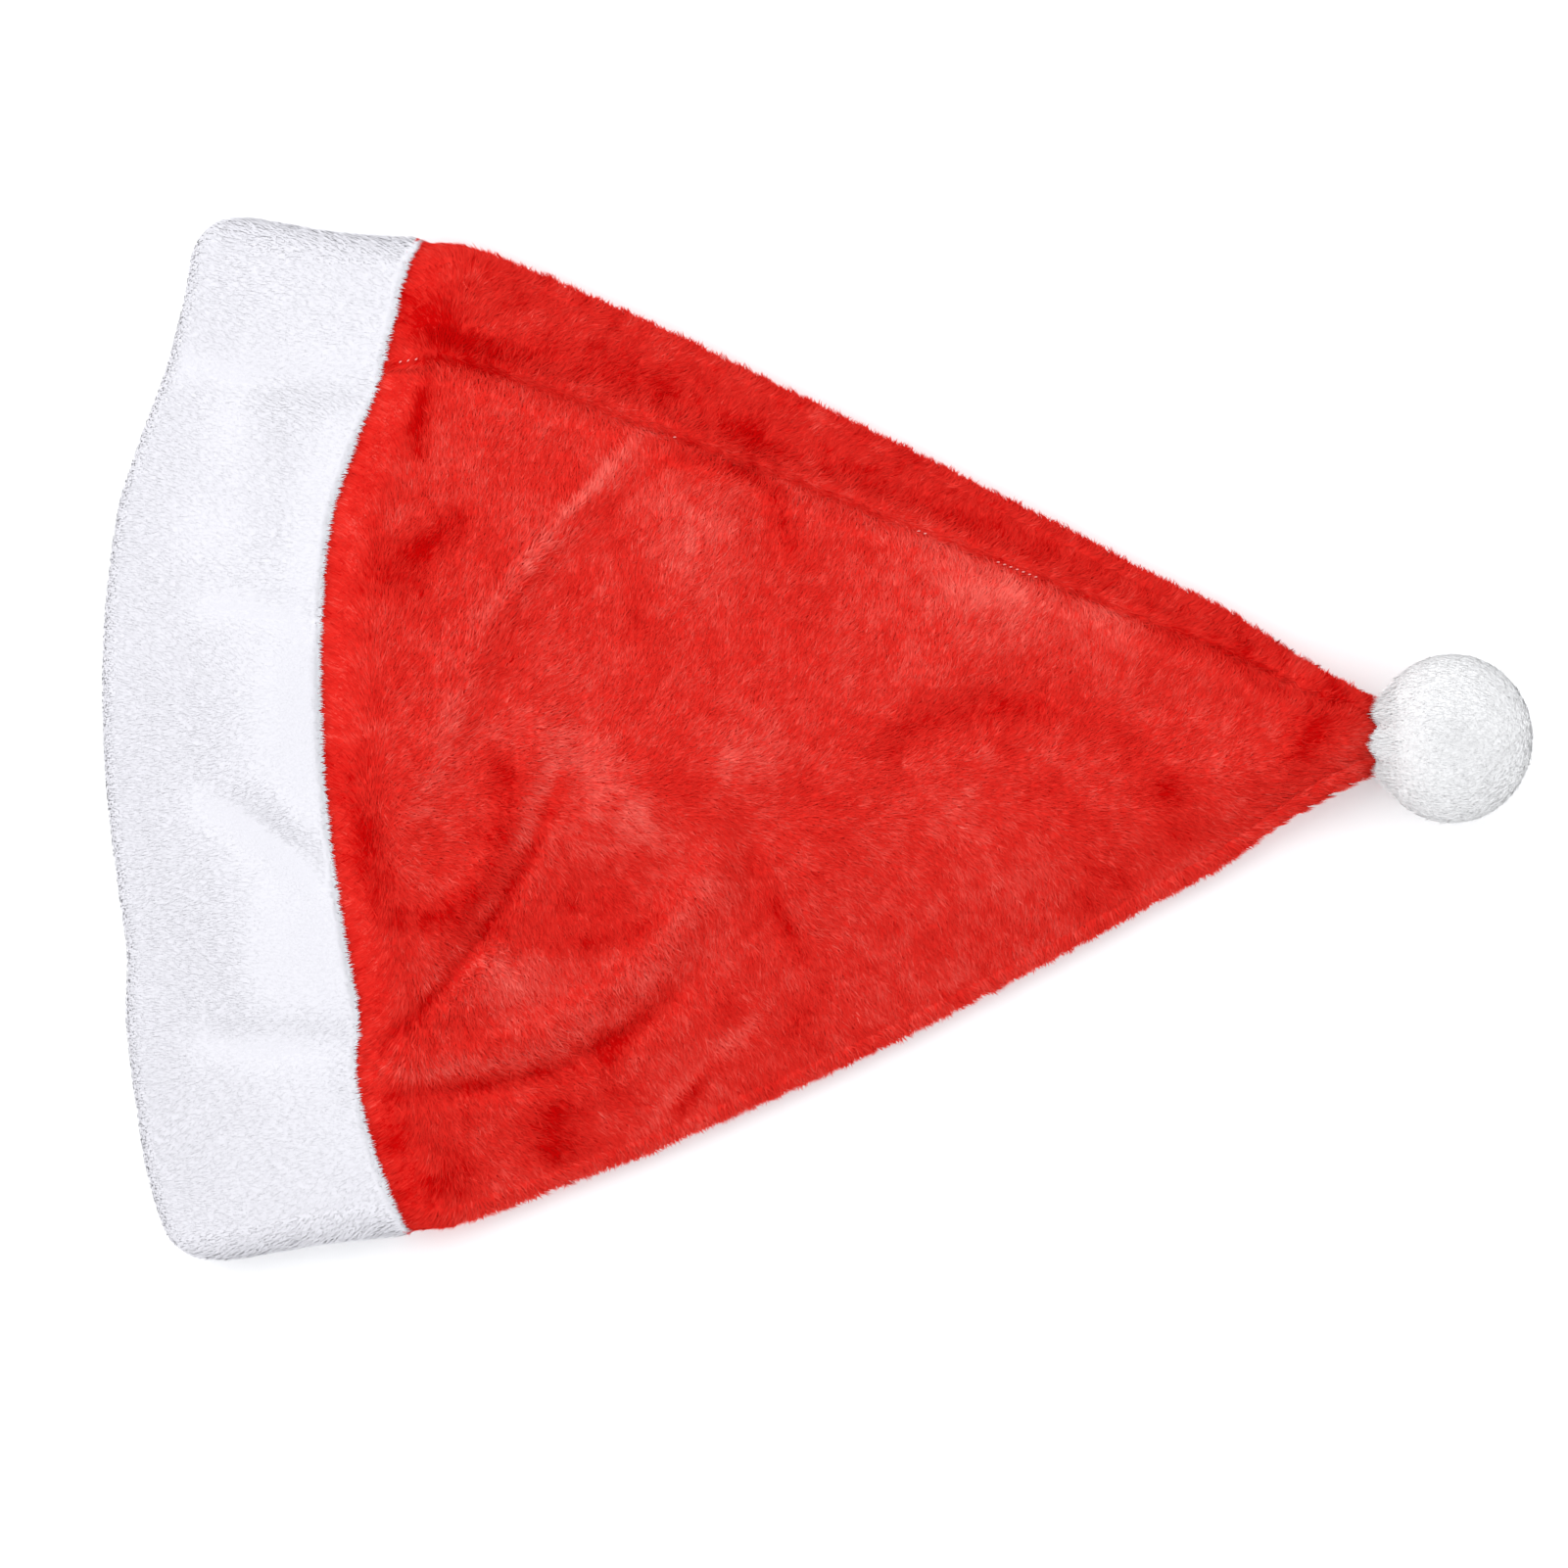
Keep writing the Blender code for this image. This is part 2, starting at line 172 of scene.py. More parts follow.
# Seam stitches: pitch in millimetres, half length, slant, bow, thickness and depth in the nap,
# then places along one and round it
STITCH_PITCH = 1.9
STITCH_HALF = 0.48 * MM
STITCH_SLANT = 0.5
STITCH_BOW = 0.32 * MM
STITCH_THICK = 0.17 * MM
STITCH_DEEP = 0.1 * MM
STITCH_STEPS = 5
STITCH_ROUND = 6

# Cuff's cloth: how far its edges are eased, and the ring distance where the inside of the fold
# starts to turn
CUFF_EASE = 0.4 * MM
FOLD_FROM = 376.0 * MM

# Cuff's pile: fibre length and width, clump size, the share of fibres that starts beside the
# crown and heads over it, the band that these start in, and how far round the fold each half goes
CUFF_LENGTH = 2.6 * MM
CUFF_WIDTH = 0.76 * MM
CUFF_CLUMP = 2.6 * MM
JOIN_SHARE = 0.20
JOIN_BAND = 1.8 * MM
OUTER_TURN = 0.43
INNER_TURN = 0.2

# Pompom: centre, half sizes, rows and columns of its heart and the degrees of its last row, then
# its fibres: depth, length, width, share and width of stray ones and their extra height, reach
# over the neck and the height from which they reach over it
POM_CENTRE = (177.3 * MM, -0.1 * MM, 22.7 * MM)
POM_RADIUS = (22.4 * MM, 23.8 * MM, 22.9 * MM)
POM_ROWS = 23
POM_COLUMNS = 40
POM_LAST_ROW = 84
POM_DEPTH = 0.4 * MM
POM_LENGTH = 2.6 * MM
POM_WIDTH = 0.62 * MM
POM_STRAY_SHARE = 0.08
POM_STRAY_WIDTH = 0.3 * MM
POM_STRAY_HIGH = 1.1 * MM
POM_OVER_NECK = 3.2 * MM
POM_OVER_FROM = 22.0 * MM

# Stage: half the floor, and the camera over the middle of the picture, at the photo's scale
FLOOR_HALF = 2.4
PHOTO_PIXELS = 1601
PIXELS_PER_MM = 3.625
LENS = 100.0
SENSOR = 36.0
VIEW_MIDDLE = (-9.5 * MM, -12.8 * MM, 14.0 * MM)

# Lamps: name, place, size and power
LAMPS = (
    ("key_light", (-0.9, 0.9, 1.7), 1.8, 15.0),
    ("fill_light", (1.1, -0.5, 1.8), 1.8, 4.0),
)

# Crown sections: ring distance, half angle in degrees, underside, top of the side fold,
# crest, shift across the hat
RINGS = (
    (44.5, 11.6, 14.2, 25.2, 27.2, 0.0),
    (52.0, 12.7, 13.2, 25.0, 27.6, 0.0),
    (60.0, 14.6, 10.6, 22.8, 27.4, 0.0),
    (70.0, 16.9, 6.8, 19.0, 26.4, 0.1),
    (85.0, 20.0, 2.6, 13.6, 24.4, 0.2),
    (101.0, 22.1, 0.4, 11.2, 22.6, -0.3),
    (117.0, 22.7, 0.0, 10.6, 21.8, -0.8),
    (148.0, 23.9, 0.0, 10.6, 22.2, -1.2),
    (179.0, 24.5, 0.0, 10.6, 23.4, -1.5),
    (210.0, 24.8, 0.0, 10.7, 24.6, -1.5),
    (241.0, 24.9, 0.0, 10.8, 25.6, -1.2),
    (271.0, 24.9, 0.0, 11.0, 26.5, -0.5),
    (300.0, 24.7, 0.0, 11.6, 27.5, 0.3),
    (324.0, 24.5, 0.0, 12.8, 28.4, 0.7),
    (336.0, 24.4, 0.0, 14.6, 29.4, 0.6),
)

# Cuff sections, outside of its outer ply: the same columns
CUFF_RINGS = (
    (334.0, 24.2, 0.0, 21.6, 31.6, 0.6),
    (346.0, 23.75, 0.0, 21.8, 32.0, 0.5),
    (358.0, 23.15, 0.0, 22.0, 32.8, 0.2),
    (371.0, 22.6, 0.0, 22.2, 33.0, 0.0),
    (384.0, 22.2, 0.0, 22.2, 32.4, 0.0),
    (398.0, 21.8, 0.0, 21.8, 31.2, 0.0),
    (406.0, 21.5, 0.0, 21.6, 30.4, 0.0),
)

# Edges of the cuff: place across the hat, then how far join and rim stray from their rings
EDGES = (
    (-1.000, 5.0, -1.5),
    (-0.975, 5.0, 4.6),
    (-0.910, 4.9, 7.4),
    (-0.820, 4.6, 6.8),
    (-0.680, 2.8, 4.0),
    (-0.530, -3.0, 1.2),
    (-0.380, -3.2, -2.8),
    (0.000, -1.7, -0.8),
    (0.250, 0.2, 0.3),
    (0.400, 1.1, 0.3),
    (0.540, -0.6, -2.0),
    (0.700, -2.5, -4.4),
    (0.830, -1.0, -3.3),
    (0.910, 0.8, -1.2),
    (0.975, 1.0, -2.6),
    (1.000, 1.0, -6.5),
)

# Folds: start x y, bend x y, end x y, half width, height
FOLDS = (
    (-49.7, 82.5, -89.7, 48.8, -103.0, 4.0, 6.5, 4.0),
    (-103.0, 4.0, -108.0, -8.0, -114.5, -21.0, 7.0, 1.8),
    (-74.5, -9.9, -84.0, -52.0, -122.8, -89.9, 4.8, -3.8),
    (-73.0, 4.0, -78.0, -30.0, -104.0, -56.0, 7.0, 3.6),
    (-26.2, -32.0, -52.0, -90.0, -122.8, -94.0, 7.0, 4.4),
    (-37.2, -67.9, -66.0, -99.0, -111.7, -98.2, 6.5, -4.0),
    (-17.9, 75.6, -17.0, 64.0, -12.4, 50.8, 6.5, -2.8),
    (23.4, -4.4, 38.0, 8.0, 62.0, 9.4, 7.0, -3.2),
    (-20.7, -29.2, -16.0, -44.0, -9.7, -56.8, 7.0, -3.0),
    (74.0, 4.0, 100.0, 2.0, 136.0, 3.0, 8.0, -2.6),
    (-176.6, 103.7, -150.0, 97.0, -124.0, 99.0, 6.5, -2.4),
    (-166.9, -18.2, -153.0, -24.0, -139.3, -37.5, 6.0, -2.0),
    (-166.0, 36.0, -152.0, 36.0, -139.3, 31.4, 6.0, -1.6),
    (-167.0, -84.0, -148.0, -86.0, -131.0, -84.0, 6.5, -1.8),
)

# Mounds and hollows: x, y, half length, half width, turn in degrees, height
MOUNDS = (
    (-53.8, -21.0, 22.0, 15.0, 60.0, 3.0),
    (-22.0, -6.0, 24.0, 16.0, 20.0, 2.8),
    (-31.7, 53.5, 34.0, 22.0, 60.0, 2.8),
    (45.5, 36.0, 34.0, 20.0, -20.0, 2.4),
    (-86.9, -70.6, 20.0, 12.0, 35.0, 3.2),
    (67.6, -32.0, 30.0, 16.0, 25.0, 2.2),
    (4.1, -36.0, 22.0, 13.0, 60.0, 2.4),
    (-110.3, 50.8, 18.0, 12.0, 70.0, -3.4),
    (-64.8, -46.0, 16.0, 10.0, 50.0, -2.4),
    (-156.0, 86.6, 16.0, 11.0, 80.0, -1.2),
    (-161.4, 56.3, 14.0, 11.0, 0.0, -1.2),
    (-158.0, -62.0, 22.0, 14.0, 80.0, 1.2),
    (-156.0, 10.0, 22.0, 16.0, 90.0, 1.2),
)

# Painted highlights on ridges and painted shade in valleys, as lines in the red nap's tone: start
# x y, bend x y, end x y, half width, tone
NAP_LIGHT_AND_SHADE_LINES = (
    (-47.5, 85.2, -82.0, 50.0, -92.5, 34.0, 2.1, 0.22),
    (-92.5, 34.0, -101.0, 8.0, -112.0, -22.0, 2.2, 0.07),
    (-73.0, -10.0, -81.0, -36.0, -97.0, -57.0, 1.8, -0.22),
    (-97.0, -57.0, -108.0, -72.0, -122.0, -86.0, 1.6, -0.20),
    (-73.0, 2.0, -79.0, -20.0, -96.0, -49.0, 3.2, 0.13),
    (-93.0, -4.0, -82.0, -24.0, -97.0, -42.0, 4.6, -0.25),
    (-97.0, -42.0, -106.0, -53.0, -118.0, -48.0, 5.0, -0.30),
    (-88.0, -53.0, -66.0, -60.0, -44.0, -49.0, 3.0, -0.14),
    (-121.0, -93.0, -84.0, -92.0, -62.0, -80.0, 3.4, 0.13),
    (-62.0, -80.0, -40.0, -60.0, -28.5, -29.5, 4.8, 0.10),
    (-116.0, -98.0, -92.0, -97.0, -70.0, -92.0, 2.2, -0.20),
    (-70.0, -92.0, -54.0, -84.0, -43.0, -70.0, 4.0, -0.22),
    (-43.0, 76.5, -22.0, 78.0, -12.0, 66.0, 2.4, -0.22),
    (-12.0, 66.0, -8.0, 56.0, -9.0, 48.0, 3.4, -0.20),
    (19.0, -4.0, 32.0, 8.0, 52.0, 8.0, 5.2, -0.17),
    (52.0, 8.0, 72.0, 7.0, 87.0, -2.0, 5.2, -0.13),
    (98.0, 28.0, 114.0, 23.0, 130.0, 12.0, 4.4, -0.26),
    (-20.6, -29.5, -13.0, -45.0, -4.8, -61.0, 2.4, -0.20),
    (-109.6, 99.0, -111.0, 88.0, -112.4, 77.0, 2.6, -0.28),
    (-113.0, 122.0, -107.0, 109.0, -92.0, 107.0, 5.2, -0.25),
    (-90.0, 106.0, -76.0, 103.0, -66.0, 102.0, 4.2, -0.13),
    (-41.0, -104.0, -36.0, -98.0, -30.0, -90.0, 2.2, -0.22),
    (-50.0, -108.0, -28.0, -86.0, -9.0, -66.0, 2.6, 0.10),
    (-122.0, 45.0, -112.0, 52.0, -99.0, 61.0, 4.6, -0.28),
)

# Painted highlights on mounds and painted shade in hollows, as patches in the red nap's tone: x,
# y, half length, half width, turn, tone
NAP_LIGHT_AND_SHADE_PATCHES = (
    (-58.0, 104.0, 8.0, 5.0, -25.0, -0.22),
    (-45.0, 98.0, 7.0, 5.0, -25.0, -0.15),
    (-20.6, 84.0, 9.0, 5.0, -27.0, -0.17),
    (9.0, 73.0, 12.0, 4.0, -27.0, -0.13),
    (36.0, 62.0, 16.0, 4.0, -26.0, -0.10),
    (66.0, 49.0, 12.0, 4.0, -26.0, -0.08),
    (-34.0, 53.0, 25.0, 12.0, -58.0, 0.14),
    (40.0, 42.0, 20.0, 14.0, -30.0, 0.15),
    (62.0, 35.0, 22.0, 9.0, -20.0, 0.11),
    (80.0, 32.0, 14.0, 6.0, -22.0, 0.06),
    (-25.5, -8.5, 8.0, 7.0, 0.0, 0.13),
    (-10.0, -6.0, 10.0, 4.0, 0.0, 0.05),
    (-61.0, -12.0, 18.0, 8.0, -55.0, 0.17),
    (-53.0, -22.0, 8.0, 5.0, -40.0, 0.10),
    (-85.0, -68.5, 18.0, 8.0, -18.0, 0.13),
    (-125.5, -31.0, 5.0, 11.0, 0.0, -0.26),
    (-131.0, -9.0, 5.0, 6.0, 0.0, -0.12),
    (-91.0, -8.0, 7.0, 7.0, 0.0, -0.03),
    (-64.0, -44.0, 12.0, 7.0, 10.0, -0.16),
    (-91.0, -52.0, 5.0, 4.0, 40.0, -0.12),
    (-76.0, -106.0, 7.0, 6.0, 0.0, -0.24),
    (-74.0, -115.0, 8.0, 4.0, 10.0, -0.24),
    (-106.0, -125.0, 8.0, 5.0, 15.0, -0.22),
    (-116.0, -112.0, 6.0, 6.0, 0.0, -0.20),
    (-118.0, -99.0, 5.0, 4.0, 0.0, -0.12),
    (-95.0, -112.0, 6.0, 4.0, 0.0, 0.06),
    (-60.0, -100.0, 9.0, 5.0, 25.0, -0.14),
    (-88.0, -122.0, 7.0, 4.0, 20.0, 0.05),
    (-60.0, -84.0, 6.0, 5.0, 30.0, -0.14),
    (-98.0, -110.0, 26.0, 14.0, 10.0, -0.07),
    (-3.0, -77.0, 7.0, 5.0, 30.0, -0.10),
    (138.5, 4.5, 12.0, 6.0, 58.0, -0.22),
    (131.0, -8.0, 7.0, 6.0, 0.0, -0.11),
    (98.0, -15.0, 9.0, 7.0, 20.0, -0.18),
    (100.0, -26.0, 9.0, 5.0, 20.0, -0.16),
    (62.0, -35.0, 10.0, 5.0, 25.0, 0.05),
    (35.0, -19.0, 9.0, 6.0, 25.0, 0.06),
    (82.0, -40.0, 14.0, 5.0, 27.0, -0.08),
    (-115.6, 40.0, 6.0, 6.0, 0.0, -0.12),
)

# Places along the seam where its thread shows: ring distance from, to
THREAD_SHOWS = ((341.0, 337.0), (261.0, 259.5), (187.0, 183.5), (163.0, 151.0))


def smooth_lookup(table, column, at):
    """Monotone cubic through one column of a table, in the table's own units."""
    data = np.array(table, dtype=float)
    x = data[:, 0]
    y = data[:, column]
    step = np.diff(x)
    rise = np.diff(y) / step
    slope = np.zeros_like(x)
    slope[0] = rise[0]
    slope[-1] = rise[-1]
    same = rise[:-1] * rise[1:] > 0
    left = 2 * step[1:] + step[:-1]
    right = step[1:] + 2 * step[:-1]
    safe = np.where(same, rise[:-1] * rise[1:], 1.0)
    mean = (left + right) * safe / (left * rise[1:] + right * rise[:-1] + (~same))
    slope[1:-1] = np.where(same, mean, 0.0)
    at = np.clip(np.asarray(at, dtype=float), x[0], x[-1])
    i = np.clip(np.searchsorted(x, at) - 1, 0, len(x) - 2)
    t = (at - x[i]) / step[i]
    return (
        (1 + 2 * t) * (1 - t) ** 2 * y[i]
        + t * (1 - t) ** 2 * step[i] * slope[i]
        + t * t * (3 - 2 * t) * y[i + 1]
        + t * t * (t - 1) * step[i] * slope[i + 1]
    )


def ease(value):
    """Smooth step from 0 to 1."""
    value = np.clip(value, 0.0, 1.0)
    return value * value * (3 - 2 * value)


def scatter_value(column, row, seed):
    """A repeatable number from 0 to 1 for each pair of whole numbers."""
    mixed = np.sin(column * 127.1 + row * 311.7 + seed * 74.7) * 43758.5453
    return mixed - np.floor(mixed)


def cloud(x, y, scale, seed):
    """Smooth noise from -1 to 1 over plan x, y: eased blends between scattered corner values."""
    gx = x / scale
    gy = y / scale
    ix = np.floor(gx)
    iy = np.floor(gy)
    fx = ease(gx - ix)
    fy = ease(gy - iy)
    low = scatter_value(ix, iy, seed) * (1 - fx) + scatter_value(ix + 1, iy, seed) * fx
    high = scatter_value(ix, iy + 1, seed) * (1 - fx) + scatter_value(ix + 1, iy + 1, seed) * fx
    return 2 * (low * (1 - fy) + high * fy) - 1


def lines_field(table, px, py, sharp):
    """Sum over bent lines of the last column times a bell across the line, faded at its ends:
    amount * fade(t) * exp(-(distance / half)^2), at the place t of the line where that is most."""
    total = np.zeros_like(px)
    t = np.linspace(0.0, 1.0, LINE_STEPS)
    fade = LINE_END_SHARE + (1 - LINE_END_SHARE) * np.sin(math.pi * t) ** sharp
    for x0, y0, x1, y1, x2, y2, half, amount in table:
        low_x = min(x0, x1, x2) - LINE_REACH * half
        high_x = max(x0, x1, x2) + LINE_REACH * half
        low_y = min(y0, y1, y2) - LINE_REACH * half
        high_y = max(y0, y1, y2) + LINE_REACH * half
        near = (px > low_x) & (px < high_x) & (py > low_y) & (py < high_y)
        if not near.any():
            continue
        path_x = (1 - t) ** 2 * x0 + 2 * t * (1 - t) * x1 + t * t * x2
        path_y = (1 - t) ** 2 * y0 + 2 * t * (1 - t) * y1 + t * t * y2
        away = (px[near, None] - path_x) ** 2 + (py[near, None] - path_y) ** 2
        total[near] += amount * (fade * np.exp(-away / (half * half))).max(axis=-1)
    return total


def patches_field(table, px, py):
    """Sum over turned oval bells of the last column: amount * exp(-(u^2 + v^2))."""
    total = np.zeros_like(px)
    for mx, my, long, wide, turn, amount in table:
        c = math.cos(math.radians(turn))
        s = math.sin(math.radians(turn))
        u = ((px - mx) * c + (py - my) * s) / long
        v = ((py - my) * c - (px - mx) * s) / wide
        total += amount * np.exp(-(u * u + v * v))
    return total


def held_in(ring, cuffed):
    """How far the crown is drawn in where the cuff's outer ply goes round it."""
    share = ease((ring / MM - HELD_FROM) / (HELD_AT - HELD_FROM))
    return np.zeros_like(ring) if cuffed else share * (PLY + GAP)


def flush(ring):
    """How far the nap and its cloth are let out again, level with the cuff, short of it."""
    return held_in(ring, False) * LET_OUT * (ring < JOIN - LET_OUT_SHORT)


def section(ring, inset, cuffed):
    """Straight half length, fold centre, fold radius, dome height and shift of each ring."""
    plain = [smooth_lookup(RINGS, k, ring / MM) for k in (1, 2, 3, 4, 5)]
    band = [smooth_lookup(CUFF_RINGS, k, ring / MM) for k in (1, 2, 3, 4, 5)]
    share = np.ones_like(ring)
    if not cuffed:
        share = ease((ring / MM - HELD_FROM) / (HELD_AT - HELD_FROM))
    held = held_in(ring, cuffed)
    half, low, fold, crest, shift = [(1 - share) * a + share * b for a, b in zip(plain, band)]
    half = np.radians(half) * ring
    low = low * MM
    fold = fold * MM
    crest = crest * MM
    radius = (fold - low) / 2
    return half - radius, (fold + low) / 2, radius - held - inset, crest - fold, shift * MM


def hat_point(ring, across, out, up, inset, cuffed):
    """Points of the hat: rings about the apex, each a flat underside, two round side folds and
    a domed upper face, with folds and mounds added upwards and a furrow along the seam."""
    ring, across, out, up, inset = np.broadcast_arrays(
        *[np.asarray(v, dtype=float) for v in (ring, across, out, up, inset)]
    )
    reach, middle, radius, dome, shift = section(ring, inset, cuffed)
    along = across * reach + out * radius
    face = np.clip(up, 0, 1)
    z = middle + up * radius + face * dome * (1 - np.abs(across) ** DOME)
    outward = radius + inset + held_in(ring, cuffed)
    place = (across * reach + out * outward) / (reach + outward)
    join = smooth_lookup(EDGES, 1, place) * MM
    rim = smooth_lookup(EDGES, 2, place) * MM
    blend = np.clip((ring - JOIN) / (RIM - JOIN), 0, 1)
    bent = ease((ring / MM - BEND_FROM) / (JOIN / MM - BEND_FROM))
    far = ring + join * bent * (1 - blend) + rim * blend
    angle = along / ring
    x = APEX_X - far * np.cos(angle)
    y = APEX_Y + shift + far * np.sin(angle)
    px = x / MM
    py = y / MM
    z = z + (lines_field(FOLDS, px, py, 0.6) + patches_field(MOUNDS, px, py)) * face * MM
    if not cuffed:
        off = (across - SEAM_ACROSS) * reach / (SEAM_WIDE * MM)
        groove = SEAM_DEEP * np.exp(-off * off)
        lips = LIP_HIGH * np.exp(-((np.abs(off) - LIP_AWAY) ** 2))
        shown = ease((ring / MM - SEAM_FROM) / (SEAM_FULL - SEAM_FROM))
        shown = shown * (1 - ease((ring / MM - HELD_FROM) / (HELD_AT - HELD_FROM)))
        z = z + (lips - groove) * face * shown * MM
    return np.stack([x, y, z], axis=-1)


def loop_place(ring, place, back, cuffed):
    """Across, out and up at a place from -1 to 1 along the upper or lower half of a ring,
    by length along it: straight in the middle, round at the side folds."""
    reach, _, radius, _, _ = section(ring, 0.0, cuffed)
    length = reach + 0.5 * math.pi * radius
    at = place * length
    turn = np.clip((np.abs(at) - reach) / radius, 0, 0.5 * math.pi)
    across = np.clip(at / reach, -1, 1)
    side = np.sign(at) * np.sin(turn)
    return across, side, np.cos(turn) * (-1 if back else 1)


def ring_columns(top, fold, under):
    """Places round a whole ring: upper face, fold, underside, fold. They are evenly spread
    but for a closer set on both sides of the seam."""
    face = np.linspace(1.0, -1.0, top + 1)
    beside = SEAM_ACROSS + SEAM_COLUMN_STEP * np.arange(-SEAM_COLUMNS, SEAM_COLUMNS + 1)
    face = face[np.abs(face - SEAM_ACROSS) > SEAM_COLUMN_CLEAR]
    face = np.sort(np.concatenate([face, beside]))[::-1]
    turn = np.radians(np.linspace(90.0, -90.0, fold + 1)[1:-1])
    base = np.linspace(-1.0, 1.0, under + 1)
    ones = np.ones_like(turn)
    across = np.concatenate([face, -ones, base, ones])
    out = np.concatenate([0 * face, -np.cos(turn), 0 * base, np.cos(turn)])
    up = np.concatenate([0 * face + 1, np.sin(turn), 0 * base - 1, -np.sin(turn)])
    return across, out, up


class Wire:
    """A node socket that takes part in Python arithmetic."""

    def __init__(self, tree, socket):
        self.tree = tree
        self.socket = socket

    def math(self, operation, *values):
        """One Math node on wires and numbers."""
        node = self.tree.nodes.new("ShaderNodeMath")
        node.operation = operation
        for place, value in enumerate(values):
            if isinstance(value, Wire):
                self.tree.links.new(value.socket, node.inputs[place])
            else:
                node.inputs[place].default_value = value
        return Wire(self.tree, node.outputs[0])

    def __mul__(self, other):
        return self.math("MULTIPLY", self, other)

    __rmul__ = __mul__

    def __sub__(self, other):
        return self.math("SUBTRACT", self, other)

    def __rsub__(self, other):
        return self.math("SUBTRACT", other, self)

    def __pow__(self, other):
        return self.math("POWER", self, other)


class Finish:
    """A material's node tree with short ways to add nodes."""

    def __init__(self, name, roughness):
        self.material = bpy.data.materials.new(name)
        self.material.use_nodes = True
        self.tree = self.material.node_tree
        self.shader = self.tree.nodes["Principled BSDF"]
        self.shader.inputs["Roughness"].default_value = roughness
        self.shader.inputs["Metallic"].default_value = 0.0
        self.shader.inputs["Specular IOR Level"].default_value = 0.0

    def node(self, kind, settings=None, inputs=None, output=0):
        """One node of a type, with its settings, then the values or links of its sockets."""
        node = self.tree.nodes.new(kind)
        for key, value in (settings or {}).items():
            if key == "stops":
                ramp = node.color_ramp
                while len(ramp.elements) < len(value):
                    ramp.elements.new(1.0)
                for element, (place, colour) in zip(ramp.elements, value):
                    element.position = place
                    element.color = (*colour, 1.0)
            else:
                setattr(node, key, value)
        for key, value in (inputs or {}).items():
            if isinstance(value, Wire):
                self.tree.links.new(value.socket, node.inputs[key])
            else:
                node.inputs[key].default_value = value
        return Wire(self.tree, node.outputs[output])

    def mix(self, factor, first, second):
        """Two colours mixed by a factor."""
        sockets = {0: factor, 6: first, 7: second}
        return self.node("ShaderNodeMix", {"data_type": "RGBA"}, sockets, 2)

    def feed(self, socket, wire):
        """Lead a wire into a socket of the surface."""
        self.tree.links.new(wire.socket, self.shader.inputs[socket])


def pile_finish(name, stops, root_colour, root_shade):
    """Colour of single fibres: a ramp over the fibre's tone, with painted shade towards the root,
    where it turns to another colour by root shade * (1 - place along the fibre)^1.6."""
    finish = Finish(name, 0.9)
    place = finish.node("ShaderNodeUVMap", {"uv_map": "pile"})
    tone = finish.node("ShaderNodeSeparateXYZ", None, {0: place}, 0)
    along = finish.node("ShaderNodeSeparateXYZ", None, {0: place}, 1)
    colour = finish.node("ShaderNodeValToRGB", {"stops": stops}, {0: tone})
    # Painted shade towards the fibre's root
    depth = (1 - along) ** 1.6 * root_shade
    finish.feed("Base Color", finish.mix(depth, colour, (*root_colour, 1.0)))
    return finish.material


def cloth_finish(name, colour, dark, grain):
    """Cloth under the pile: two colours mottled by noise, with a fine knitted bump."""
    finish = Finish(name, 0.95)
    place = finish.node("ShaderNodeTexCoord", output=3)
    speckle = {"Vector": place, "Scale": 120.0, "Detail": 3.0}
    mottle = finish.node("ShaderNodeTexNoise", None, speckle)
    finish.feed("Base Color", finish.mix(mottle, (*dark, 1.0), (*colour, 1.0)))
    knit = {"Vector": place, "Scale": grain}
    weave = finish.node("ShaderNodeTexVoronoi", {"feature": "F1"}, knit)
    relief = {"Height": weave, "Strength": 0.5, "Distance": 0.0004}
    finish.feed("Normal", finish.node("ShaderNodeBump", None, relief))
    return finish.material


def grid_quads(rows, count):
    """Corner numbers of the quads of a grid that runs round in its second direction."""
    row, col = np.meshgrid(np.arange(rows - 1), np.arange(count), indexing="ij")
    a = row * count + col
    b = row * count + (col + 1) % count
    return np.stack([a, b, b + count, a + count], axis=-1).reshape(-1, 4)


def make_piece(name, points, faces, materials, node, face_material=None):
    """A mesh object from point and face arrays, riding on the root body."""
    mesh = bpy.data.meshes.new(name)
    points = np.asarray(points, dtype=np.float32)
    faces = [np.asarray(f, dtype=np.int32) for f in faces if len(f)]
    sizes = np.concatenate([np.full(len(f), f.shape[1], dtype=np.int32) for f in faces])
    corners = np.concatenate([f.ravel() for f in faces])
    mesh.vertices.add(len(points))
    mesh.vertices.foreach_set("co", points.ravel())
    mesh.loops.add(len(corners))
    mesh.loops.foreach_set("vertex_index", corners)
    mesh.polygons.add(len(sizes))
    starts = np.concatenate([[0], np.cumsum(sizes)[:-1]]).astype(np.int32)
    mesh.polygons.foreach_set("loop_start", starts)
    mesh.polygons.foreach_set("use_smooth", np.full(len(sizes), True))
    if face_material is not None:
        mesh.polygons.foreach_set("material_index", face_material.astype(np.int32))
    mesh.update(calc_edges=True)
    mesh.validate()
    for material in materials:
        mesh.materials.append(material)
    piece = bpy.data.objects.new(name, mesh)
    bpy.context.scene.collection.objects.link(piece)
    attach(piece, "root")
    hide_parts(node)
    return piece


def unit(vectors):
    """Vectors scaled to length 1."""
    return vectors / np.maximum(np.linalg.norm(vectors, axis=-1, keepdims=True), 1e-12)


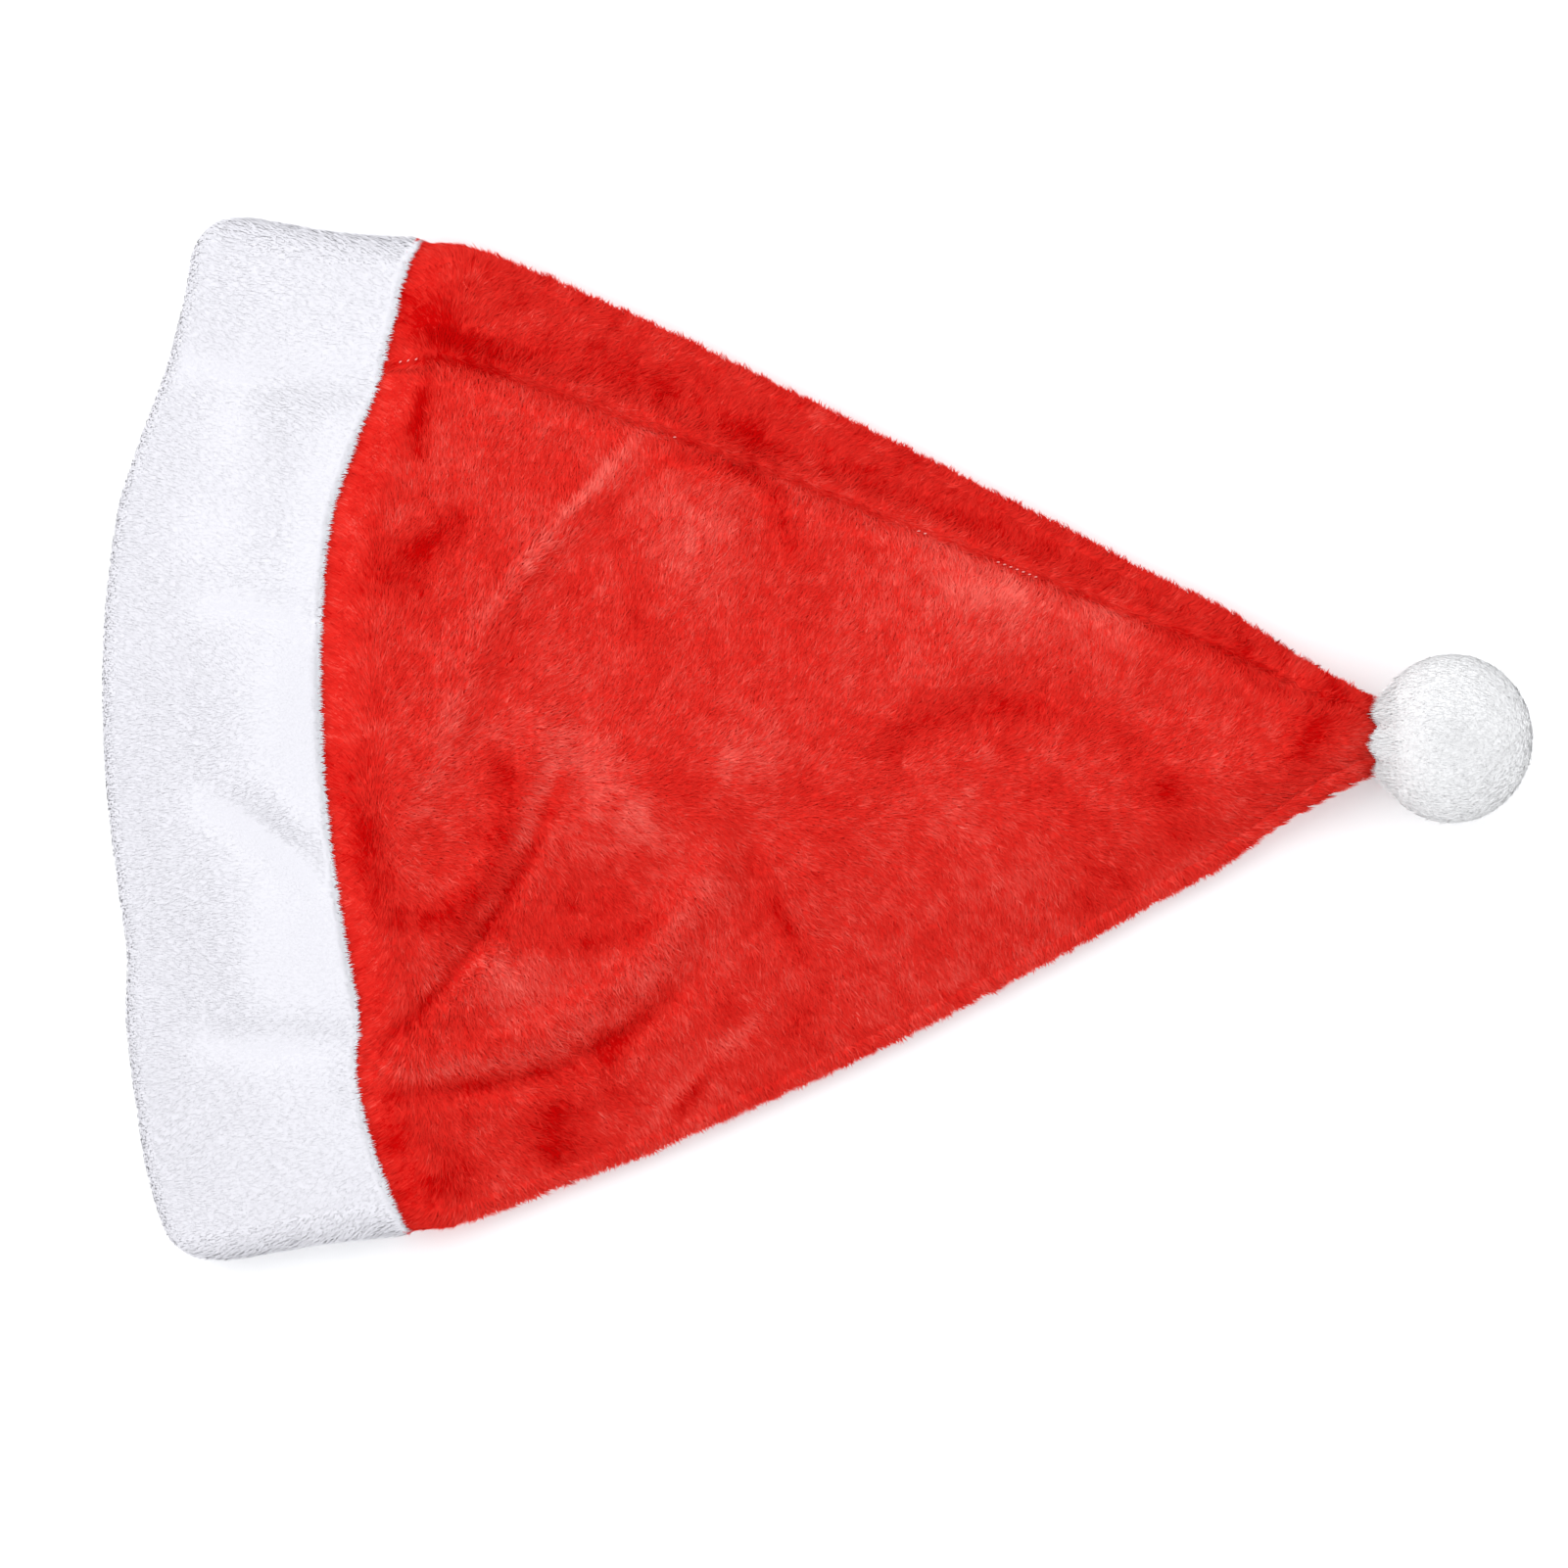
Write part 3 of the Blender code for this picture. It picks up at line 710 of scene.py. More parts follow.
def make_pile(
    name, root, normal, lay, rise, width, tone, random, material, node, shade=None,
    crest=WHITE_CREST,
):
    """Fibres as three-sided spikes that lean over along the lay.

    Foot of a spike = root - side, root + side and root + crest width normal, with side half
    the width across the lay and a small random twist; tip = root + rise + lay. The spike is
    shaded as if it faced along shade, or else along the normal.
    """
    count = len(root)
    side = unit(np.cross(lay, normal)) + normal * random.normal(0, TWIST, (count, 1))
    side = unit(side) * width[:, None] / 2
    ridge = root + crest * width[:, None] * normal
    points = np.stack([root - side, root + side, ridge, root + rise + lay], 1)
    points[..., 2] = np.maximum(points[..., 2], FLOOR_CLEAR)
    base = np.arange(count)[:, None] * 4
    faces = np.stack([base + [0, 2, 3], base + [2, 1, 3], base + [0, 3, 1]], 1).reshape(-1, 3)
    piece = make_piece(name, points.reshape(-1, 3), [faces], [material], node)
    mesh = piece.data
    tone = np.clip(tone, TONE_HALF, 1 - TONE_HALF)
    u = np.stack([tone - TONE_HALF, tone + TONE_HALF, tone, tone], 1)
    v = np.broadcast_to([0.0, 0.0, 0.0, 1.0], u.shape)
    at_point = np.stack([u, v], axis=-1).reshape(-1, 2).astype(np.float32)
    corner = np.empty(len(mesh.loops), dtype=np.int32)
    mesh.loops.foreach_get("vertex_index", corner)
    for title in ("pile", "OFBake"):
        layer = mesh.uv_layers.new(name=title)
        layer.data.foreach_set("uv", at_point[corner].ravel())
    shade = normal if shade is None else shade
    mesh.normals_split_custom_set_from_vertices(np.repeat(shade, 4, axis=0).tolist())
    return piece


def crown_tone(x, y, random):
    """Lightness of the red nap from 0 to 1: drawn lines and patches of painted highlight and
    shade, clouds at five sizes, and one value per fibre."""
    px = x / MM
    py = y / MM
    # Painted highlights and shade on the folds, mounds and hollows
    drawn = lines_field(NAP_LIGHT_AND_SHADE_LINES, px, py, 0.5) + patches_field(NAP_LIGHT_AND_SHADE_PATCHES, px, py)
    tone = 0.5 + 1.45 * drawn * (1 + 0.35 * cloud(px, py, 8.0, 12))
    for scale, seed, amount in NAP_CLOUDS:
        tone += amount * cloud(px, py, scale, seed)
    return tone + random.normal(0, 0.08, len(px))


def tongue(y):
    """1 where the crown's tip runs out in tufts over the pompom, 0 between them."""
    return sum(np.exp(-(((y / MM - middle) / TONGUE_WIDE) ** 2)) for middle in TONGUES)


def crown_heading(root, normal, across):
    """Plan direction of the red nap: up and right over most of the crown, turning down and
    right below, along the hat above the seam and outward at the upper side, with swirls."""
    px = root[:, 0] / MM
    py = root[:, 1] / MM
    upper = ease((py + 60.0) / 90.0)
    degrees = LOWER_HEADING * (1 - upper) + UPPER_HEADING * upper
    above = ease((across - SEAM_ACROSS + 0.01) / 0.05)
    degrees = degrees * (1 - above) + ABOVE_SEAM_HEADING * above
    edge = ease(1.3 * normal[:, 1] - 0.2)
    degrees = degrees * (1 - edge) + OUTLINE_HEADING * edge
    for scale, seed, amount in SWIRLS:
        degrees = degrees + amount * cloud(px, py, scale, seed)
    return np.radians(degrees)


def pile_roots(ring, place, back, cuffed, inset):
    """Root points and outward normals at ring and loop places, by small steps each way."""
    ring_nudge = 0.4 * MM
    place_nudge = 0.004
    across, out, up = loop_place(ring, place, back, cuffed)
    root = hat_point(ring, across, out, up, inset, cuffed)
    ring_step = hat_point(ring + ring_nudge, across, out, up, inset, cuffed) - root
    nudged = place + place_nudge * np.where(place > 0, -1, 1)
    side = hat_point(ring, *loop_place(ring, nudged, back, cuffed), inset, cuffed) - root
    normal = unit(np.cross(ring_step, side))
    _, middle, _, _, _ = section(ring, inset, cuffed)
    middle_point = hat_point(ring, across, 0.0, 0.0, inset, cuffed)
    middle_point[..., 2] = middle
    facing = np.sign(np.sum((root - middle_point) * normal, axis=-1, keepdims=True))
    return root, normal * np.where(facing == 0, 1, facing), across


def ring_samples(random, count, low, high):
    """Ring distances spread so that each piece of surface is equally likely."""
    share = (np.arange(count) + random.random(count)) / count
    return np.sqrt(low * low + share * (high * high - low * low))


def golden(random, count, stray):
    """Shares from 0 to 1 that step on by the golden ratio, so that they fill a surface evenly
    beside an evenly rising second coordinate, each with a small random stray."""
    share = np.arange(count) * GOLDEN + random.normal(0, stray, count)
    return share - np.floor(share)


def clumped(root, lay, cell, pull, seed):
    """Lay of the fibres with their tips drawn towards the middle of their own clump."""
    gx = np.floor(root[:, 0] / cell)
    gy = np.floor(root[:, 1] / cell)
    centre_x = (gx + 0.2 + 0.6 * scatter_value(gx, gy, seed)) * cell
    centre_y = (gy + 0.2 + 0.6 * scatter_value(gx, gy, seed + 1)) * cell
    drawn = lay.copy()
    drawn[:, :2] += pull * (np.stack([centre_x, centre_y], axis=-1) - root[:, :2])
    return drawn, scatter_value(gx, gy, seed + 2) - 0.5


def flat_lay(heading, normal):
    """A plan heading laid into the surface."""
    flat = np.stack([np.cos(heading), np.sin(heading), 0 * heading], axis=-1)
    return unit(flat - normal * np.sum(flat * normal, axis=-1, keepdims=True))


class HatColours(bpy.types.PropertyGroup):
    """Colours of the hat's fibres."""

    red: bpy.props.FloatVectorProperty(
        name="Red nap", description="Middle colour of the crown's nap", subtype="COLOR",
        default=(0.745, 0.0262, 0.0185), min=0, max=1,
    )
    red_light: bpy.props.FloatVectorProperty(
        name="Light nap", description="Crown nap where it catches the light", subtype="COLOR",
        default=(0.94, 0.137, 0.109), min=0, max=1,
    )
    # Painted shade: the ramp's dark end, where the nap turns away from the light
    red_dark: bpy.props.FloatVectorProperty(
        name="Dark nap", description="Crown nap where it turns away", subtype="COLOR",
        default=(0.52, 0.002, 0.002), min=0, max=1,
    )
    white: bpy.props.FloatVectorProperty(
        name="Cuff", description="Colour of the cuff's pile", subtype="COLOR",
        default=(0.705, 0.697, 0.735), min=0, max=1,
    )
    pompom: bpy.props.FloatVectorProperty(
        name="Pompom", description="Colour of the pompom's pile", subtype="COLOR",
        default=(0.77, 0.77, 0.773), min=0, max=1,
    )


class HatSizes(bpy.types.PropertyGroup):
    """Sizes of the hat's fibres and how many there are."""

    nap_depth: bpy.props.FloatProperty(
        name="Nap depth", description="Height of the crown's nap above its cloth",
        default=0.85 * MM, unit="LENGTH", precision=5,
    )
    nap_lay: bpy.props.FloatProperty(
        name="Nap lay", description="How far a crown fibre leans over",
        default=3.7 * MM, unit="LENGTH", precision=5,
    )
    nap_width: bpy.props.FloatProperty(
        name="Fibre width", description="Width of one crown fibre",
        default=0.68 * MM, unit="LENGTH", precision=5,
    )
    nap_count: bpy.props.IntProperty(
        name="Crown fibres", description="Fibres in each third of the crown's upper face",
        default=61000, min=100,
    )
    under_count: bpy.props.IntProperty(
        name="Underside fibres", description="Fibres on the crown's underside",
        default=17000, min=100,
    )
    cuff_count: bpy.props.IntProperty(
        name="Cuff fibres", description="Fibres on the cuff's upper face", default=46000, min=100,
    )
    cuff_under_count: bpy.props.IntProperty(
        name="Cuff underside fibres", description="Fibres on the cuff's underside and inside",
        default=17000, min=100,
    )
    pompom_count: bpy.props.IntProperty(
        name="Pompom fibres", description="Fibres on the pompom", default=32000, min=100,
    )
    cuff_depth: bpy.props.FloatProperty(
        name="Cuff pile", description="Height of the cuff's pile above its cloth",
        default=0.28 * MM, unit="LENGTH", precision=5,
    )


def red_pile_material():
    """The crown's fibre material, made once."""
    found = bpy.data.materials.get("red_nap")
    if found:
        return found
    colours = bpy.context.scene.hat_colours
    dark = np.array(colours.red_dark)
    middle = np.array(colours.red)
    light = np.array(colours.red_light)
    # Stops from the dark to the light nap colour, which carry the nap's painted shade and
    # highlight as well as its random tone
    stops = (
        (0.10, tuple(dark)),
        (0.30, tuple(0.4 * dark + 0.6 * middle)),
        (0.50, tuple(middle)),
        (0.70, tuple(0.65 * middle + 0.35 * light)),
        (0.95, tuple(light)),
    )
    return pile_finish("red_nap", stops, tuple(dark), 0.12)


def white_pile_material(name, colour, brightest):
    """A white fibre material, made once for each name. The lightest fibres have brightest times
    the colour, but never more than the cap."""
    found = bpy.data.materials.get(name)
    if found:
        return found
    colour = np.array(colour)
    stops = (
        (0.0, tuple(colour * 0.95)),
        (0.5, tuple(colour)),
        (1.0, tuple(np.minimum(colour * brightest, WHITE_CAP))),
    )
    return pile_finish(name, stops, tuple(colour), 0.1)


class HAT_OT_crown_cloth(bpy.types.Operator):
    """Make the crown's cloth under its nap, open at the cuff and closed at the tip.

    Its points are hat_point on a grid of ring distances and places round the ring, first
    outside from the tip to the cuff, then inside from the cuff back to the tip.
    """

    bl_idname = "hat.crown_cloth"
    bl_label = "Crown cloth"

    def execute(self, context):
        sizes = context.scene.hat_sizes
        across, out, up = ring_columns(FACE_COLUMNS, CROWN_FOLD_COLUMNS, UNDER_COLUMNS)
        count = len(across)
        slot = np.linspace(JOIN + TUCK, JOIN, 4)
        step = JOIN - LET_OUT_SHORT + np.array([0.05, -0.05]) * MM
        outer = np.concatenate([slot, step, np.linspace(HELD_AT * MM, TIP, OUTER_ROWS)])[::-1]
        inner = np.concatenate([slot, np.linspace(LINING_FROM, LINING_END, LINING_ROWS)])
        in_slot = outer > JOIN - LET_OUT_SHORT
        depth = np.where(in_slot, SKIN_IN_CUFF, sizes.nap_depth - flush(outer))
        shell = hat_point(outer[:, None], across, out, up, depth[:, None], False)
        lining = hat_point(inner[:, None], across, out, up, CLOTH + LINING_CLEAR, False)
        rows = np.concatenate([shell, lining])
        caps = np.stack([shell[0].mean(axis=0), lining[-1].mean(axis=0)])
        caps[0, 0] += TIP_BULGE
        points = np.concatenate([rows.reshape(-1, 3), caps])
        quads = grid_quads(len(rows), count)
        first = len(points) - 2
        this = np.arange(count)
        following = (this + 1) % count
        tail = (len(rows) - 1) * count
        tip = np.stack([0 * this + first, following, this], axis=-1)
        end = np.stack([0 * this + first + 1, tail + this, tail + following], axis=-1)
        face_material = np.zeros(len(quads) + 2 * count)
        face_material[len(shell) * count:len(quads)] = 1
        face_material[-count:] = 1
        outside = cloth_finish("red_cloth", (0.70, 0.018, 0.014), (0.64, 0.012, 0.010), 1400.0)
        inside = cloth_finish("red_backing", (0.50, 0.030, 0.028), (0.40, 0.016, 0.015), 900.0)
        piece = make_piece(
            "crown_cloth", points, [quads, tip, end], [outside, inside], "crown",
            face_material,
        )
        recalculate(piece)
        return {"FINISHED"}


def recalculate(piece):
    """Turn all faces of a closed piece outwards."""
    work = bmesh.new()
    work.from_mesh(piece.data)
    bmesh.ops.recalc_face_normals(work, faces=work.faces)
    work.to_mesh(piece.data)
    work.free()


class HAT_OT_crown_nap(bpy.types.Operator):
    """Lay the crown's red nap over its upper face in three pieces, and over its underside."""

    bl_idname = "hat.crown_nap"
    bl_label = "Crown nap"

    def execute(self, context):
        sizes = context.scene.hat_sizes
        material = red_pile_material()
        low = TIP + NAP_AFTER_TIP
        high = JOIN - NAP_BEFORE_CUFF
        cuts = np.sqrt(np.linspace(low * low, high * high, 4))
        share = 1.0
        count = int(sizes.nap_count * share)
        for part, title in enumerate(("tip", "middle", "cuff")):
            self.lay(
                "crown_nap_" + title, cuts[part], cuts[part + 1], False, count, 11 + part,
                material, sizes, 1.0,
            )
        count = int(sizes.under_count * share)
        self.lay("crown_nap_under", low, high, True, count, 21, material, sizes, 2.0)
        return {"FINISHED"}

    def places(self, random, count, near, far, back):
        """Ring distances and loop places of the roots, more of them beside the cuff and, on
        the upper face, some in a row along the seam; the last value marks these."""
        ring = ring_samples(random, count, near, far)
        place = (2 * golden(random, count, 0.0012) - 1) * (0.93 if back else 1.0)
        extra = random.random(count) < THICK_SHARE * (far > 0.3)
        ring = np.where(extra, far - THICK_BAND * random.random(count), ring)
        sewn = (random.random(count) < SEWN_SHARE) & (not back)
        reach, _, radius, _, _ = section(ring, 0.0, False)
        beside = SEAM_ACROSS * reach + random.normal(0, SEWN_STRAY, count)
        return ring, np.where(sewn, beside / (reach + 0.5 * math.pi * radius), place), sewn

    def lay(self, name, near, far, back, count, seed, material, sizes, broad):
        """Fibres from ring distance near to far. Beside the cuff they turn towards it, get shorter
        and take painted shade, at the outline they rise in tufts and take a painted sheen, above
        the seam they take painted shade, and at the tip they run along the hat."""
        random = np.random.default_rng(seed)
        ring, place, sewn = self.places(random, count, near, far, back)
        inset = sizes.nap_depth - flush(ring)
        root, normal, across = pile_roots(ring, place, back, False, inset)
        heading = crown_heading(root, normal, across if not back else 0 * across)
        along_seam = np.arctan2(APEX_Y - root[:, 1], APEX_X - root[:, 0])
        heading = np.where(sewn, along_seam, heading) + random.normal(0, 0.30, count)
        if back:
            heading = heading * 0.3
        at_cuff = ease((ring / MM - CUFF_TURN_FROM) / (CUFF_TURN_AT - CUFF_TURN_FROM))
        at_cuff = at_cuff * (0.85 + 0.15 * random.random(count))
        towards = math.pi * (0.94 - 1.88 * (heading < 0))
        heading = heading * (1 - at_cuff) + towards * at_cuff
        upper = ease((across - 0.45) / 0.3)
        length = sizes.nap_lay * random.uniform(0.65, 1.15, count)
        room = np.maximum(JOIN - ring + (1.2 * upper + 0.1) * MM, LEAST_LENGTH)
        length = np.where(at_cuff > 0.5, np.minimum(length, room), length)
        tufted = ease((1 - np.abs(normal[:, 2]) - 0.3) / 0.5)
        pull = (0.26 + 0.2 * tufted - 0.2 * at_cuff)[:, None]
        lay, clump = clumped(root, flat_lay(heading, normal) * length[:, None], CLUMP, pull, 5)
        tuft = scatter_value(np.floor(root[:, 0] / TUFT), np.floor(root[:, 1] / TUFT), 9.0) - 0.4
        lift = 1 + (0 if back else 1.8) * tufted * tuft
        tall = sizes.nap_depth * random.uniform(0.78, 1.04, count) * lift
        stray = random.random(count) < STRAY_SHARE
        tall = np.where(stray, tall * 1.3, tall)
        lay = np.where(stray[:, None], lay * 0.6, lay)
        at_tip = ease((TIP_TURN_FROM - ring / MM) / (TIP_TURN_FROM - TIP_TURN_AT))
        runs_out = (1.6 + 2.6 * tongue(root[:, 1])) * MM
        lay = lay * (1 - at_tip)[:, None]
        lay[:, 0] += at_tip * runs_out * random.uniform(0.7, 1.1, count)
        tone = crown_tone(root[:, 0], root[:, 1], random) + 0.10 * clump
        # Painted sheen on the tufts at the outline, painted shade beside the cuff
        tone = tone + 0.16 * tufted - 0.06 * at_cuff
        if not back:
            beside = (across - SEAM_ACROSS) * (ring * FACE_SHARE)
            seam = np.exp(-((beside / SEAM_SHADE) ** 2))
            # Painted shade over the band above the seam and in a line along the seam
            band = ease((across - SEAM_ACROSS) / 0.06) * (1 - tufted)
            tone = tone - 0.10 * band - 0.22 * seam * (ring < JOIN)
            tall = tall * (1 - 0.3 * seam)
        width = sizes.nap_width * broad * random.uniform(0.75, 1.2, count)
        make_pile(
            name, root, normal, lay, normal * tall[:, None], width, tone, random, material,
            "crown", unit(normal + 0.25 * unit(lay)), RED_CREST,
        )


class HAT_OT_seam(bpy.types.Operator):
    """Make the short pale stitches that show along the crown's seam.

    A stitch is a round rod that follows centre + along * slanted + (1 - along^2) * bow, for
    along from -1 to 1, and thins out as (1 - along^4)^0.5 towards its ends.
    """

    bl_idname = "hat.seam"
    bl_label = "Seam stitches"

    def execute(self, context):
        del context
        rows = [np.arange(start, end, -STITCH_PITCH) for start, end in THREAD_SHOWS]
        ring = np.concatenate(rows) * MM
        across = np.full_like(ring, SEAM_ACROSS)
        inset = STITCH_DEEP - flush(ring)
        centre = hat_point(ring, across, 0.0, 1.0, inset, False)
        onward = hat_point(ring - 0.5 * MM, across, 0.0, 1.0, inset, False)
        forward = unit(onward - centre)
        upward = np.broadcast_to([0.0, 0.0, 1.0], forward.shape)
        slanted = unit(forward + STITCH_SLANT * unit(np.cross(upward, forward)))
        sideways = unit(np.cross(upward, slanted))
        along = np.linspace(-1, 1, STITCH_STEPS)
        turn = np.linspace(0, 2 * math.pi, STITCH_ROUND + 1)[:-1]
        bow = STITCH_BOW * (1 - along ** 2)
        thick = STITCH_THICK * np.sqrt(np.maximum(1 - along ** 4, 0.05))
        line = centre[:, None] + slanted[:, None] * (along * STITCH_HALF)[None, :, None]
        line = line + upward[:, None] * bow[None, :, None]
        around = (
            sideways[:, None, None] * np.cos(turn)[None, None, :, None]
            + upward[:, None, None] * np.sin(turn)[None, None, :, None]
        )
        points = line[:, :, None] + around * thick[None, :, None, None]
        points_each = STITCH_STEPS * STITCH_ROUND
        first = np.arange(len(ring))[:, None] * points_each
        quads = (grid_quads(STITCH_STEPS, STITCH_ROUND)[None] + first[:, :, None]).reshape(-1, 4)
        low = np.arange(STITCH_ROUND)[::-1] + first
        high = np.arange(points_each - STITCH_ROUND, points_each) + first
        finish = Finish("seam_thread", 0.7)
        place = finish.node("ShaderNodeTexCoord", output=3)
        wave = finish.node("ShaderNodeTexNoise", None, {"Vector": place, "Scale": 3000.0})
        finish.feed("Base Color", finish.mix(wave, (0.82, 0.25, 0.23, 1), (0.93, 0.52, 0.48, 1)))
        piece = make_piece(
            "crown_seam_stitches", points.reshape(-1, 3), [quads, low, high], [finish.material],
            "crown",
        )
        recalculate(piece)
        return {"FINISHED"}


def cuff_profile(pile):
    """Ring distance and inset of the cuff's cloth under its pile, round the folded band: out
    along one ply, half a circle round the rim, back along the other, and the same inside."""
    full = 2 * PLY + CLOTH + 2 * GAP
    bend = full / 2
    outside = bend - pile
    inside = bend - PLY
    turn = np.radians(np.linspace(0, 180, 15))
    back_turn = turn[::-2]
    slot = np.linspace(JOIN, JOIN + TUCK, 4)
    down = np.linspace(JOIN + 0.5 * PLY, RIM - bend, 22)[:-1]
    hidden = np.array([*slot[1:], FOLD_FROM])
    ring = np.concatenate([
        [JOIN + CUFF_EASE], down, RIM - bend + outside * np.sin(turn), down[::-1],
        [JOIN + CUFF_EASE], slot[:1] + GAP, hidden, RIM - bend + inside * np.sin(back_turn),
        hidden[::-1], slot[:1] + GAP,
    ])
    inset = np.concatenate([
        [pile + CUFF_EASE], 0 * down + pile, bend - outside * np.cos(turn),
        0 * down + full - pile, [full - pile - CUFF_EASE], [full - PLY], 0 * hidden + full - PLY,
        bend - inside * np.cos(back_turn), 0 * hidden + PLY, [PLY],
    ])
    return ring, inset


class HAT_OT_cuff_cloth(bpy.types.Operator):
    """Make the cuff's cloth under its pile: one band folded double at the rim."""

    bl_idname = "hat.cuff_cloth"
    bl_label = "Cuff cloth"

    def execute(self, context):
        sizes = context.scene.hat_sizes
        across, out, up = ring_columns(FACE_COLUMNS, CUFF_FOLD_COLUMNS, UNDER_COLUMNS)
        ring, inset = cuff_profile(sizes.cuff_depth)
        rows = hat_point(ring[:, None], across, out, up, inset[:, None], True)
        rows = np.concatenate([rows, rows[:1]])
        count = len(across)
        quads = grid_quads(len(rows), count) % ((len(rows) - 1) * count)
        light = (0.685, 0.677, 0.715)
        material = cloth_finish("white_cloth", light, (0.67, 0.662, 0.70), 1200.0)
        piece = make_piece(
            "cuff_cloth", rows[:-1].reshape(-1, 3), [quads], [material], "cuff"
        )
        recalculate(piece)
        return {"FINISHED"}


class HAT_OT_cuff_pile(bpy.types.Operator):
    """Lay the cuff's short white pile over its upper face, underside and inside."""

    bl_idname = "hat.cuff_pile"
    bl_label = "Cuff pile"

    def execute(self, context):
        sizes = context.scene.hat_sizes
        colours = context.scene.hat_colours
        material = white_pile_material("white_pile", colours.white, 1.03)
        share = 1.0
        count = int(sizes.cuff_count * share)
        self.lay("cuff_pile_upper", False, count, 31, material, sizes.cuff_depth, 0.75, 1.0)
        count = int(sizes.cuff_under_count * share)
        self.lay("cuff_pile_under", True, count, 32, material, sizes.cuff_depth, 0.62, 2.0)
        return {"FINISHED"}

    def lay(self, name, back, count, seed, material, pile, outer_share, broad):
        """Fibres that start along a walk from the cuff's edge over the band and round its fold,
        on the outside or the inside, and head on along that walk. Some beside the edge head
        the other way, over the crown."""
        random = np.random.default_rng(seed)
        bend = (2 * PLY + CLOTH + 2 * GAP) / 2
        straight = RIM - bend - JOIN
        arc = math.pi * (bend - pile)
        outer_walk = straight + arc * OUTER_TURN
        inner = random.random(count) > outer_share
        walk = outer_walk * (np.arange(count) + random.random(count)) / count
        walk = np.where(inner, walk * (straight + arc * INNER_TURN) / outer_walk, walk)
        at_join = (random.random(count) < JOIN_SHARE) & ~inner
        walk = np.where(at_join, JOIN_BAND * random.random(count), walk)
        turn = np.clip((walk - straight) / (bend - pile), 0, 0.5 * math.pi)
        ring = JOIN + CUFF_EASE + np.minimum(walk, straight) + (bend - pile) * np.sin(turn)
        inset = bend - (bend - pile) * np.cos(turn) * np.where(inner, -1, 1)
        place = 2 * golden(random, count, 0.001) - 1
        root, normal, _ = pile_roots(ring, place, back, True, inset)
        normal = normal * np.where(inner, -1, 1)[:, None]
        outward = root - np.array([APEX_X, APEX_Y, 0.0])
        outward[:, 2] = 0
        outward = unit(outward)
        onward = unit(outward * np.cos(turn)[:, None] - normal * np.sin(turn)[:, None])
        normal = unit(normal * np.cos(turn)[:, None] + outward * np.sin(turn)[:, None])
        swing = random.normal(0, 0.25, count)
        swing = swing + 0.5 * cloud(root[:, 0] / MM, root[:, 1] / MM, 22.0, 9)
        swing = (swing + math.pi * at_join)[:, None]
        onward = onward * np.cos(swing) + np.cross(normal, onward) * np.sin(swing)
        length = CUFF_LENGTH * random.uniform(0.7, 1.1, count)
        length = length * (1 - 0.35 * at_join * random.random(count))
        lay, clump = clumped(root, onward * length[:, None], CUFF_CLUMP, 0.05, 8)
        round_fold = np.clip(walk + length - straight, 0, length) * ~at_join
        lay = lay - normal * (round_fold ** 2 / (2 * bend))[:, None]
        tall = pile * random.uniform(0.15, 0.6, count) * (1 + 1.2 * at_join)
        tone = 0.5 + 0.03 * clump + random.normal(0, 0.03, count)
        tone = tone + 0.06 * cloud(root[:, 0] / MM, root[:, 1] / MM, 18.0, 6)
        width = CUFF_WIDTH * broad * random.uniform(0.8, 1.2, count) * (1 - 0.5 * at_join)
        make_pile(
            name, root, normal, lay, normal * tall[:, None], width, tone, random, material,
            "cuff",
        )


